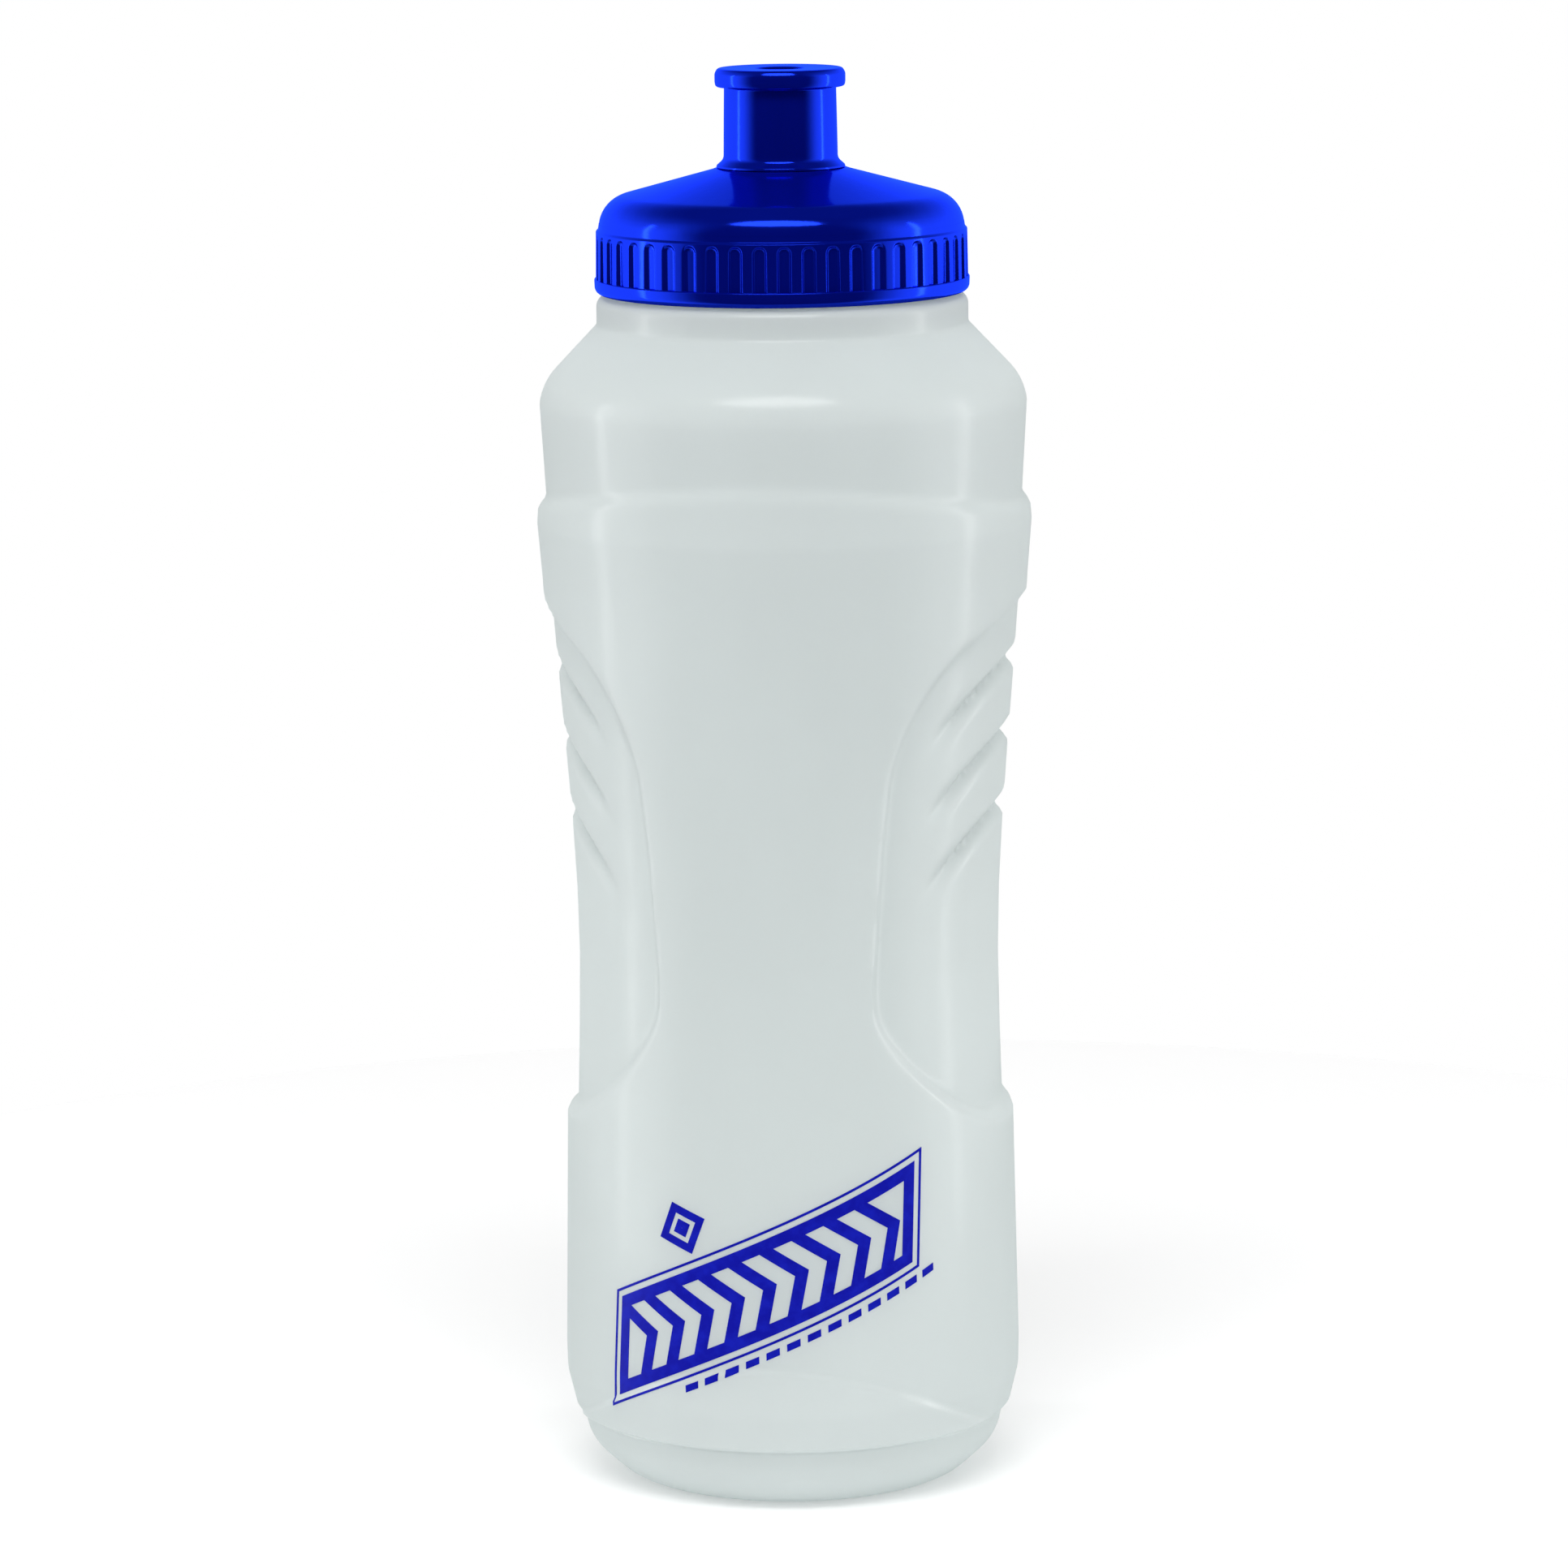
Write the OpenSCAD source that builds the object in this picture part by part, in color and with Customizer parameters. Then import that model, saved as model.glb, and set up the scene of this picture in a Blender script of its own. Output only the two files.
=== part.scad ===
// Wide-mouth squeeze bottle with a screw lid and a push-pull drinking spout.
//
// Millimetres. +Z is up, the origin is the centre of the base, and -Y is the front.
// Four pieces: the blow-moulded bottle, the screw lid, its sealing ring and the spout.
// The two hand grips are on the +X and -X sides.

/* [Bottle] */
// Height of the bottle's shoulder, where the collar under the lid ends
shoulder_h = 213.2; // [212.6:0.1:213.2]
// Diameter at the widest point, just below the waist
body_d = 88; // [87:0.5:89]
// Diameter at the bottom of the lower body
lower_d = 82; // [81:0.5:83]
// Diameter at the narrowest height of the front face
slim_d = 79.4; // [78.6:0.2:80.2]
// Diameter of the standing ring, measured at its outer edge
foot_d = 53; // [50:1:55]
// Thickness of the blow-moulded wall
wall = 1.2; // [1:0.1:1.4]
// Height of the moulding line around the heel
heel_z = 11.7; // [11:0.1:12.5]

/* [Waist] */
// Height of the waist's lower edge at the front and the back
waist_front_z = 183; // [182:0.5:184]
// How far the lower edge drops from the front to the sides
waist_drop = 6; // [5:0.5:7]
// Depth of the waist below the surface around it
waist_depth = 1.4; // [1:0.1:1.6]

/* [Grips] */
// Half width of a grip panel, seen from its own side
grip_half_w = 34.6; // [33:0.1:35]
// Height of a grip panel's lower edge
grip_bottom = 67; // [66:0.5:69]
// Height of a grip panel's upper edge, at its middle
grip_top = 159.5; // [158:0.5:160]
// Radius of the arched upper edge
grip_top_r = 50; // [48:1:54]
// Radius of the two lower corners
grip_corner_r = 25; // [20:1:28]
// Height of the lowest finger groove, at its middle
groove_z = 122.2; // [120:0.1:124]
// Distance between finger grooves
groove_pitch = 13.2; // [12.8:0.1:13.4]
// Number of finger grooves on each side
groove_count = 3; // [1:1:3]
// Width of a finger groove
groove_w = 3.6; // [3:0.1:4]
// Depth of a finger groove
groove_depth = 1.9; // [1.2:0.1:2]
// Radius of a finger groove's arch, seen from its own side
groove_arch_r = 41; // [39:1:44]
// How far each end of a finger groove lies from the grip's middle
groove_half_w = 28; // [26:0.5:29]

/* [Neck and thread] */
// Outer diameter of the collar under the lid
collar_d = 66; // [65:0.1:67]
// Outer diameter of the neck
neck_d = 59.6; // [59.4:0.1:59.8]
// Diameter of the mouth
mouth_d = 55.8; // [54:0.1:56.2]
// Height of the top of the neck
neck_top = 224.2; // [223.8:0.1:224.6]
// Axial advance of the thread in one turn
thread_pitch = 4.2; // [4:0.1:4.5]
// Radial height of a thread ridge
thread_h = 1.1; // [0.9:0.05:1.1]
// Angle that each thread ridge runs for
thread_sweep = 360; // [300:10:380]

/* [Lid] */
// Diameter of the lid's rim
lid_d = 66.5; // [66:0.1:67]
// Height of the rim's lower edge
lid_bottom = 213.5; // [213.3:0.1:214]
// Height of the plain rim band
rim_h = 2.7; // [2:0.1:3.2]
// Height of the top of the grip slots
slot_top = 224; // [223:0.1:224.2]
// Number of grip slots around the skirt
slot_count = 48; // [36:1:52]
// Width of a grip slot
slot_w = 2.2; // [1.6:0.1:2.4]
// Depth of a grip slot
slot_depth = 0.7; // [0.4:0.1:0.8]
// Height of the dome where it meets the spout's seat
dome_top = 235.1; // [234.8:0.1:235.6]
// Slope of the dome's upper face, in degrees
dome_slope = 15.2; // [14:0.1:16]
// Inner diameter of the skirt
skirt_bore = 62.4; // [62.2:0.1:62.6]

/* [Spout] */
// Overall height of the bottle with the spout closed
total_h = 253; // [252:0.5:254]
// Diameter of the spout's tube
spout_d = 20; // [19:0.1:21]
// Diameter of the spout's lip
spout_lip_d = 23.1; // [22:0.1:25]
// Height of the spout's lip
spout_lip_h = 3.3; // [2.5:0.1:4]
// Diameter of the drinking hole
hole_d = 7; // [6:0.1:8]
// How far the spout pulls up to open
spout_travel = 6; // [4:0.1:6]
// Diameter of the fixed stem inside the spout
stem_d = 15.2; // [14:0.1:15.4]

/* [Sealing ring] */
// Thickness of the sealing ring
seal_h = 1.2; // [1:0.1:1.4]
// Width of the sealing ring's section
seal_w = 3.6; // [3:0.1:3.7]

/* [Hidden] */
$fn = 128;

// Steps in each rounded corner of a profile.
corner_steps = 5;
// Longest reach of a cutter, past every side of the bottle.
reach = 120;

body_r = body_d / 2;
lower_r = lower_d / 2;
slim_r = slim_d / 2;
foot_r = foot_d / 2;
collar_r = collar_d / 2;
neck_r = neck_d / 2;
mouth_r = mouth_d / 2;
lid_r = lid_d / 2;
skirt_r = skirt_bore / 2;
stem_r = stem_d / 2;

// Height of the base's middle above the floor.
base_dish = 2;
// How far the heel stands in from the lower body, and the moulding line's lip above it.
heel_in = 3;
line_in = 0.2;
line_out = 1.6;
// Height at which the front is slimmest.
slim_z = 95;
// Height at which the bottle is widest.
widest_z = 173;
// How far the shoulder's corner stands in from the widest radius, and its height.
shoulder_in = 0.6;
shoulder_z = 197;
// Height at which the shoulder's slope meets the collar.
collar_z = 208;
// Radius of the grip panels' floor where it is slimmest, and how much wider it is at each end.
floor_r = 37.6;
floor_low = 0.7;
floor_high = 4;
// How far the panels' floor goes on past their lower and upper edges.
floor_extra = 10;
// Height of the waist's upper edge, and how far its surface stands in there.
waist_top = 193.4;
waist_top_in = 0.55;
// How far one solid runs into the next where they join, or a cutter runs past a face.
overlap = 1;

// Running clearance of the spout on its stem, all round.
spout_fit = 0.05;
// Play left at the end of the spout's travel.
travel_play = 0.1;
// Width of the bevel around the drinking hole.
hole_bevel = 0.4;

milk_white = [0.86, 0.89, 0.88];
lid_blue = [0.03, 0.12, 0.80];
seal_white = [0.93, 0.93, 0.91];

// ---- profiles -------------------------------------------------------------------------------

function unit(v) = v / norm(v);

// Turns an angle into the range from -180 to 180 degrees.
function wrap(a) = a - 360 * floor((a + 180) / 360);

// The arc that rounds corner p, between its neighbours a and b.
function corner_arc(a, p, b, r) =
    let (
        u = unit(a - p),
        v = unit(b - p),
        half = acos(u * v) / 2,
        centre = p + unit(u + v) * r / sin(half),
        s = p + u * r / tan(half) - centre,
        e = p + v * r / tan(half) - centre,
        a0 = atan2(s[1], s[0]),
        turn = wrap(atan2(e[1], e[0]) - a0)
    )
    [for (i = [0 : corner_steps])
        let (a = a0 + turn * i / corner_steps)
        centre + r * [cos(a), sin(a)]];

function flat_point(p) = [p[0], p[1]];

// An outline whose points are [radius, height, corner radius], with its corners rounded.
function rounded(points) =
    [for (i = [0 : len(points) - 1])
        let (p = points[i], inner = i > 0 && i < len(points) - 1)
        each (inner && p[2] > 0
            ? corner_arc(flat_point(points[i - 1]), flat_point(p), flat_point(points[i + 1]), p[2])
            : [flat_point(p)])];

// The direction to the left of the line from a to b.
function left_of(a, b) = let (d = unit(b - a)) [-d[1], d[0]];

// Moves an open outline to its left by a distance, keeping its corner radii.
function inset(points, distance) =
    let (last = len(points) - 1)
    [for (i = [0 : last])
        let (
            p = flat_point(points[i]),
            n1 = i > 0 ? left_of(flat_point(points[i - 1]), p) : left_of(p, flat_point(points[1])),
            n2 = i < last ? left_of(p, flat_point(points[i + 1])) : n1,
            moved = p + (n1 + n2) * distance / (1 + n1 * n2)
        )
        [moved[0], moved[1], points[i][2]]];

// A closed solid of revolution under an open outline that starts and ends off the axis.
module turned(points) {
    last = len(points) - 1;
    rotate_extrude()
        polygon(concat([[0, points[0][1]]], points, [[0, points[last][1]]]));
}

// ---- bottle ---------------------------------------------------------------------------------

// The outside of the bottle from the foot to the collar, without its panels.
bottle_outline = [
    [foot_r - 7, base_dish, 1],
    [foot_r - 4.5, 0, 0.8],
    [lower_r - 11, 0, 8],
    [lower_r - 4, 6.5, 8],
    [lower_r - heel_in, heel_z - 0.5, 0],
    [lower_r - heel_in - line_in, heel_z, 0],
    [lower_r - line_out, heel_z + 0.7, 0.5],
    [lower_r - 0.1, heel_z + 7, 5],
    [lower_r, heel_z + 12, 12],
    [slim_r + 0.5, grip_bottom - 1, 90],
    [slim_r, slim_z, 90],
    [slim_r + 0.9, slim_z + 25, 90],
    [body_r - 0.8, widest_z - 10, 20],
    [body_r, widest_z, 1.5],
    [body_r - 0.7, widest_z + 15, 20],
    [body_r - shoulder_in, shoulder_z, 11],
    [collar_r, collar_z, 1],
    [collar_r, shoulder_h, 2],
    [mouth_r, shoulder_h, 0]
];

// The bottle's outline, moved inward by a depth.
function body_outline(depth) = rounded(depth > 0 ? inset(bottle_outline, depth) : bottle_outline);

// The floor of the grip panels, moved inward by a depth.
function grip_floor(depth) = let (r = floor_r - depth) rounded([
    [r + floor_low + 0.1, grip_bottom - floor_extra, 0],
    [r + floor_low, grip_bottom, 30],
    [r, slim_z, 60],
    [r + 0.9, slim_z + 24, 60],
    [r + 2.8, slim_z + 48.5, 60],
    [r + floor_high, grip_top, 0],
    [r + floor_high + 0.8, grip_top + floor_extra, 0]
]);

// A grip panel's outline seen from its own side: across is the bottle's Y and up is its Z.
module grip_shape(grow) {
    half = grip_half_w + grow;
    low = grip_bottom - grow;
    r = grip_corner_r + grow;
    intersection() {
        translate([0, grip_top - grip_top_r])
            circle(grip_top_r + grow);
        union() {
            translate([-half, low + r])
                square([2 * half, reach]);
            translate([-half + r, low])
                square([2 * (half - r), r + overlap]);
            for (side = [-1, 1])
                translate([side * (half - r), low + r])
                    circle(r);
        }
    }
}

// Points on an arc of a circle centred at [x, y], from one angle to another.
function arc_points(x, y, r, from, to, steps) =
    [for (i = [0 : steps])
        let (a = from + (to - from) * i / steps)
        [x + r * cos(a), y + r * sin(a)]];

// A finger groove's outline seen from its own side, for the groove whose middle is at height z:
// an arched band with round ends.
module groove_shape(z, grow) {
    half_w = groove_w / 2 + grow;
    half_angle = asin(groove_half_w / groove_arch_r);
    centre_z = z - groove_arch_r;
    end_x = groove_half_w;
    end_z = centre_z + groove_arch_r * cos(half_angle);
    polygon(concat(
        arc_points(0, centre_z, groove_arch_r + half_w, 90 - half_angle, 90 + half_angle, 20),
        arc_points(-end_x, end_z, half_w, 90 + half_angle, 270 + half_angle, 8),
        arc_points(0, centre_z, groove_arch_r - half_w, 90 + half_angle, 90 - half_angle, 20),
        arc_points(end_x, end_z, half_w, -90 - half_angle, 90 - half_angle, 8)
    ));
}

// Sweeps a side-on shape right through the bottle along X.
module across_x() {
    rotate([90, 0, 90])
        linear_extrude(2 * reach, center = true)
            children();
}

// What both grip panels take away, with the wall moved inward by a depth.
module grip_cut(depth) {
    difference() {
        across_x() grip_shape(depth);
        turned(grip_floor(depth));
    }
}

// What one finger groove takes away on both sides; its middle is at height z.
module groove_cut(z, depth) {
    difference() {
        across_x() groove_shape(z, depth);
        turned(grip_floor(depth + groove_depth));
    }
}

// What the waist takes away: all above a lower edge that rises to the front and the back.
module waist_cut(depth) {
    low = waist_front_z - waist_drop - 4;
    high = waist_top - low;
    edge_r = body_r * body_r / (2 * waist_drop);
    difference() {
        translate([0, 0, low])
            cylinder(r = body_r + 5, h = high);
        translate([0, 0, waist_front_z - edge_r])
            rotate([90, 0, 0])
                cylinder(r = edge_r - depth, h = 2 * reach, center = true, $fn = 256);
        translate([0, 0, low - overlap])
            cylinder(
                r1 = body_r - 0.7 - waist_depth - depth,
                r2 = body_r - waist_top_in - depth,
                h = high + 2 * overlap
            );
    }
}

// The bottle's shape below the neck, with its wall moved inward by a depth.
module body_form(depth) {
    difference() {
        difference() {
            difference() {
                turned(body_outline(depth));
                waist_cut(depth);
            }
            grip_cut(depth);
        }
        for (i = [0 : groove_count - 1])
            groove_cut(groove_z + i * groove_pitch, depth);
    }
}

// ---- thread ---------------------------------------------------------------------------------

thread_step = 10;
thread_base_w = 2;
thread_crest_w = 0.9;
// How deep a ridge is rooted in the wall behind it.
thread_root = 0.3;
// Height of the neck's ridge at its lower end.
thread_z = 216.2;
// Angle at which the lid's ridge starts.
lid_thread_start = 130;

// One section of a ridge at an angle: root, crest, crest, root.
function ridge_section(angle, z, r_root, r_crest) = [
    for (p = [[r_root, -thread_base_w / 2], [r_crest, -thread_crest_w / 2],
              [r_crest, thread_crest_w / 2], [r_root, thread_base_w / 2]])
    [p[0] * cos(angle), p[0] * sin(angle), z + p[1]]];

// A helical ridge. outward is 1 for a ridge on a neck and -1 for one inside a skirt.
module ridge(wall_r, outward, z0, start) {
    count = floor(thread_sweep / thread_step);
    sections = [for (i = [0 : count])
        let (
            angle = start + i * thread_step,
            rise = min(1, (i + 1) / 4, (count - i + 1) / 4)
        )
        ridge_section(angle, z0 + thread_pitch * angle / 360,
                      wall_r - outward * thread_root, wall_r + outward * thread_h * rise)];
    points = [for (s = sections) each s];
    ends = [[0, 1, 2, 3], [count * 4 + 3, count * 4 + 2, count * 4 + 1, count * 4]];
    sides = [for (i = [0 : count - 1], k = [0 : 3])
        let (a = i * 4 + k, b = i * 4 + (k + 1) % 4)
        each [[a, a + 4, b + 4], [a, b + 4, b]]];
    faces = concat(ends, sides);
    turned_over = [for (f = faces) [for (j = [len(f) - 1 : -1 : 0]) f[j]]];
    polyhedron(points, outward < 0 ? faces : turned_over);
}

module bottle() {
    color(milk_white) {
        difference() {
            union() {
                body_form(0);
                translate([0, 0, shoulder_h - overlap])
                    cylinder(r = neck_r, h = neck_top - shoulder_h + overlap);
            }
            union() {
                body_form(wall);
                translate([0, 0, shoulder_h - wall - 2 * overlap])
                    cylinder(r = mouth_r, h = reach);
            }
        }
        ridge(neck_r, 1, thread_z, 0);
    }
}

// ---- lid ------------------------------------------------------------------------------------

// The raised seat around the stem: its radius at its foot, its radius on top, and its height.
seat_foot_r = 12.4;
seat_r = 11.5;
seat_h = 0.3;
seat_top = dome_top + seat_h;
dome_edge_r = lid_r - 1.15;
dome_edge_z = dome_top - (dome_edge_r - seat_foot_r) * tan(dome_slope);
ceiling_z = neck_top + seal_h;
// How far the skirt's face between the slots stands in from the rim.
rib_in = 0.25;
// How far the skirt leans in from the rim to the top of its slots.
rib_lean = 0.15;
// Width of the flat ceiling that presses on the sealing ring.
ceiling_w = 3.9;
// Thickness of the dome at its middle.
dome_wall = 1.2;

// Heights on the fixed stem: the underside of its snap bead, and the web that carries the pin.
bead_z = seat_top + 2.2 + spout_travel + travel_play;
web_z = bead_z + 1;
web_h = 1.6;
// How far the snap bead stands out from the stem, and its height.
bead_out = 0.6;
bead_h = 1.8;
// Thickness of the stem's wall.
stem_wall = 1.6;
// Width of the three ribs that hold the pin.
rib_w = 1.6;
// How far the pin's top lies below the spout's.
pin_below = 0.8;
// Clearance of the pin in the drinking hole, all round.
pin_fit = 0.1;

// The lid's outside, from the rim's lower edge up over the dome to the spout's seat.
lid_outline = rounded([
    [skirt_r, lid_bottom, 0],
    [lid_r - 0.1, lid_bottom, 1.3],
    [lid_r, lid_bottom + rim_h, 0.2],
    [lid_r - rib_in, lid_bottom + rim_h, 0],
    [lid_r - rib_in - rib_lean, slot_top + 0.6, 0.15],
    [lid_r - 0.8, slot_top + 1, 0],
    [dome_edge_r, dome_edge_z, 6],
    [seat_foot_r, dome_top, 0.6],
    [seat_r, seat_top, 0.1],
    [stem_r, seat_top, 0]
]);

// The hollow under the dome, down from the stem's bore to the skirt.
lid_hollow = rounded([
    [skirt_r, lid_bottom - overlap, 0],
    [skirt_r, ceiling_z, 0],
    [skirt_r - ceiling_w, ceiling_z, 0],
    [skirt_r - ceiling_w - 0.2, ceiling_z + 4, 1.5],
    [stem_r - stem_wall, dome_top - dome_wall, 0],
    [stem_r - stem_wall, web_z, 0]
]);

// One grip slot: open below, with a round top, cut in from the skirt's face.
module grip_slot() {
    foot = lid_bottom + rim_h;
    rotate([90, 0, 90])
        linear_extrude(2 * slot_depth + overlap) {
            translate([-slot_w / 2, foot])
                square([slot_w, slot_top - slot_w / 2 - foot]);
            translate([0, slot_top - slot_w / 2])
                circle(slot_w / 2);
        }
}

// Three flow windows around the pin, between three ribs.
module flow_windows() {
    translate([0, 0, web_z - overlap / 2])
        difference() {
            cylinder(r = stem_r - stem_wall, h = web_h + overlap);
            cylinder(r = hole_d / 2 + hole_bevel, h = web_h + overlap);
            for (a = [0, 120, 240])
                rotate(a)
                    translate([0, -rib_w / 2, 0])
                        cube([stem_r, rib_w, web_h + overlap]);
        }
}

// The dome and skirt in one piece with the stem, before its slots and windows are cut.
module lid_shell() {
    difference() {
        union() {
            turned(lid_outline);
            translate([0, 0, dome_top - overlap])
                cylinder(r = stem_r, h = web_z + web_h - dome_top + overlap);
        }
        turned(lid_hollow);
    }
    translate([0, 0, bead_z])
        difference() {
            cylinder(r = stem_r + bead_out, h = bead_h);
            cylinder(r = stem_r - overlap, h = bead_h);
        }
    translate([0, 0, web_z])
        cylinder(r = hole_d / 2 - pin_fit, h = total_h - pin_below - web_z);
}

module lid() {
    color(lid_blue) {
        difference() {
            difference() {
                lid_shell();
                flow_windows();
            }
            for (i = [0 : slot_count - 1])
                rotate(i * 360 / slot_count)
                    translate([lid_r - rib_in - slot_depth, 0, 0])
                        grip_slot();
        }
        ridge(skirt_r, -1, thread_z - thread_pitch / 2, lid_thread_start);
    }
}

// ---- sealing ring ---------------------------------------------------------------------------

// Clearance between the ring and the skirt, all round.
seal_fit = 0.2;

module lid_gasket() {
    outer_r = skirt_r - seal_fit;
    color(seal_white)
        translate([0, 0, neck_top])
            difference() {
                cylinder(r = outer_r, h = seal_h);
                translate([0, 0, -overlap])
                    cylinder(r = outer_r - seal_w, h = seal_h + 2 * overlap);
            }
}

// ---- spout ----------------------------------------------------------------------------------

spout_r = spout_d / 2;
spout_lip_r = spout_lip_d / 2;
spout_foot_z = seat_top + 0.1;
// Thickness of the spout's top, around the drinking hole.
spout_roof = 2.6;
// How far the foot's flange stands out from the tube, and its height.
flange_out = 1.4;
flange_h = 1.2;

spout_outline = rounded([
    [stem_r + spout_fit, spout_foot_z, 0],
    [spout_r + flange_out, spout_foot_z, 0.3],
    [spout_r + 0.1, spout_foot_z + flange_h, 1.6],
    [spout_r, spout_foot_z + 8, 0],
    [spout_r - 0.1, total_h - spout_lip_h, 0],
    [spout_lip_r, total_h - spout_lip_h, 1],
    [spout_lip_r, total_h, 1],
    [hole_d / 2 + hole_bevel, total_h, 0.3],
    [hole_d / 2, total_h - 0.6, 0]
]);

module spout() {
    color(lid_blue)
        difference() {
            turned(spout_outline);
            translate([0, 0, spout_foot_z - overlap])
                cylinder(
                    r = stem_r + spout_fit,
                    h = bead_z - spout_travel - spout_foot_z + 2 * overlap
                );
            translate([0, 0, bead_z - spout_travel - travel_play])
                cylinder(
                    r = stem_r + bead_out + spout_fit,
                    h = total_h - spout_roof - bead_z + spout_travel + travel_play
                );
            translate([0, 0, total_h - spout_roof - overlap])
                cylinder(r = hole_d / 2, h = spout_roof + 2 * overlap);
        }
}

bottle();
lid_gasket();
lid();
spout();
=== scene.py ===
"""A milky squeeze bottle with a blue screw lid and a push-pull spout, dressed on its CAD frame.

Sizes are in millimetres until a mesh is made, and each mesh is in metres. +Z is up and the bottle
stands on z = 0. Angles around the bottle are measured from its front, which faces -Y, towards +X.
"""

import logging
import math
from dataclasses import dataclass
from enum import Enum

import bpy
import numpy as np
from mathutils import Matrix, Vector


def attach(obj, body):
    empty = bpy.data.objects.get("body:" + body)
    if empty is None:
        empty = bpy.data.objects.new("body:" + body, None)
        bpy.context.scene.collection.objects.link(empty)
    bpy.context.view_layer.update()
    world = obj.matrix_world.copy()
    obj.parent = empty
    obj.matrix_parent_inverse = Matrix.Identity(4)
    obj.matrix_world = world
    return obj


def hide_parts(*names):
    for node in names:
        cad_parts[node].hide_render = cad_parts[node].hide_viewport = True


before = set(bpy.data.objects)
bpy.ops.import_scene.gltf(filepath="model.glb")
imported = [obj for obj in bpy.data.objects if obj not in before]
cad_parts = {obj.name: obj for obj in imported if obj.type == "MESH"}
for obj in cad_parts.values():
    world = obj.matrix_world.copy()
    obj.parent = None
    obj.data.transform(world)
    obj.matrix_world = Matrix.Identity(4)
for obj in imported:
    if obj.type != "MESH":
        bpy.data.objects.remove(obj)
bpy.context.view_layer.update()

MM = 0.001
ARC_POINTS = 24
FINE_STEP = 0.02
log = logging.getLogger("squeeze_bottle")


# ---- names ---------------------------------------------------------------------------------------


class Body(Enum):
    """The moving bodies of the frame."""

    BOTTLE = "bottle"
    GASKET = "gasket"
    LID = "lid"
    SPOUT = "spout"


class Slot(Enum):
    """The record's material slots."""

    MILKY = "milky_plastic"
    BLUE = "blue_plastic"
    SEAL = "seal"


class Side(Enum):
    """Which side of a round wall a thread stands on."""

    OUTSIDE = 1
    INSIDE = -1


# ---- curves and grids ----------------------------------------------------------------------------


def ease(value: np.ndarray, low: float, high: float) -> np.ndarray:
    """A smooth step: 0 up to low, 1 from high on, and 3 t^2 - 2 t^3 between them.

    Args:
        value: Where the step is wanted.
        low: Where it starts to rise.
        high: Where it has risen.

    Returns:
        An array of the shape of value, from 0 to 1.
    """
    t = np.clip((value - low) / (high - low), 0.0, 1.0)
    return t * t * (3.0 - 2.0 * t)


def bend_corners(corners: np.ndarray, closed: bool = False) -> np.ndarray:
    """Rounds the corners of an outline with arcs.

    An arc of radius r touches both sides of its corner at r / tan(half the corner's angle) from
    it, and its centre lies on the line that halves the corner, at r / sin(half the angle).

    Args:
        corners: One row per corner: radius from the axis, height, and the corner's own radius.
        closed: True when the last corner joins the first one.

    Returns:
        The outline as rows of radius and height. A closed one ends where it starts.
    """
    spots, bends = corners[:, :2], corners[:, 2]
    if closed:
        spots = np.vstack([spots[-1:], spots, spots[:1]])
        bends = np.concatenate([bends[-1:], bends, bends[:1]])
    back, ahead = spots[:-2] - spots[1:-1], spots[2:] - spots[1:-1]
    back = back / np.linalg.norm(back, axis=1, keepdims=True)
    ahead = ahead / np.linalg.norm(ahead, axis=1, keepdims=True)
    half = np.arccos(np.clip((back * ahead).sum(1), -1.0, 1.0)) / 2
    r = np.maximum(bends[1:-1], 1e-4)
    middle = back + ahead
    middle = middle / np.linalg.norm(middle, axis=1, keepdims=True)
    centre = spots[1:-1] + middle * (r / np.sin(half))[:, None]
    first = spots[1:-1] + back * (r / np.tan(half))[:, None] - centre
    last = spots[1:-1] + ahead * (r / np.tan(half))[:, None] - centre
    start = np.arctan2(first[:, 1], first[:, 0])
    turn = (np.arctan2(last[:, 1], last[:, 0]) - start + np.pi) % (2 * np.pi) - np.pi
    angle = start[:, None] + turn[:, None] * np.linspace(0, 1, ARC_POINTS)
    arcs = centre[:, None] + r[:, None, None] * np.stack([np.cos(angle), np.sin(angle)], -1)
    arcs = arcs.reshape(-1, 2)
    path = np.vstack([arcs, arcs[:1]] if closed else [spots[:1], arcs, spots[-1:]])
    return path[np.r_[True, np.linalg.norm(np.diff(path, axis=0), axis=1) > 1e-5]]


def spread_rows(path: np.ndarray, spacing: float | np.ndarray, turn: float = 11.0) -> np.ndarray:
    """Picks rows along an outline, closer together where it bends.

    The number of rows in a stretch is its length over the spacing, plus its bend over turn, and
    the rows are even in the running total of that number.

    Args:
        path: Rows of radius and height.
        spacing: The distance between rows on a straight stretch, or a table of height, spacing.
        turn: The bend, in degrees, that takes one more row.

    Returns:
        The picked rows of radius and height, both ends included.
    """
    run = np.concatenate([[0.0], np.cumsum(np.linalg.norm(np.diff(path, axis=0), axis=1))])
    even = np.linspace(0.0, run[-1], max(int(run[-1] / FINE_STEP), 8))
    fine = np.column_stack([np.interp(even, run, path[:, k]) for k in (0, 1)])
    step = np.diff(fine, axis=0)
    heading = np.unwrap(np.arctan2(step[:, 1], step[:, 0]))
    bend = np.degrees(np.abs(np.concatenate([[0.0], np.diff(heading)])))
    gap = (
        np.interp((fine[1:, 1] + fine[:-1, 1]) / 2, spacing[:, 0], spacing[:, 1])
        if isinstance(spacing, np.ndarray)
        else spacing
    )
    total = np.concatenate([[0.0], np.cumsum(np.linalg.norm(step, axis=1) / gap + bend / turn)])
    picked = np.linspace(0.0, total[-1], int(round(total[-1])) + 1)
    return np.column_stack([np.interp(picked, total, fine[:, k]) for k in (0, 1)])


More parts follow.
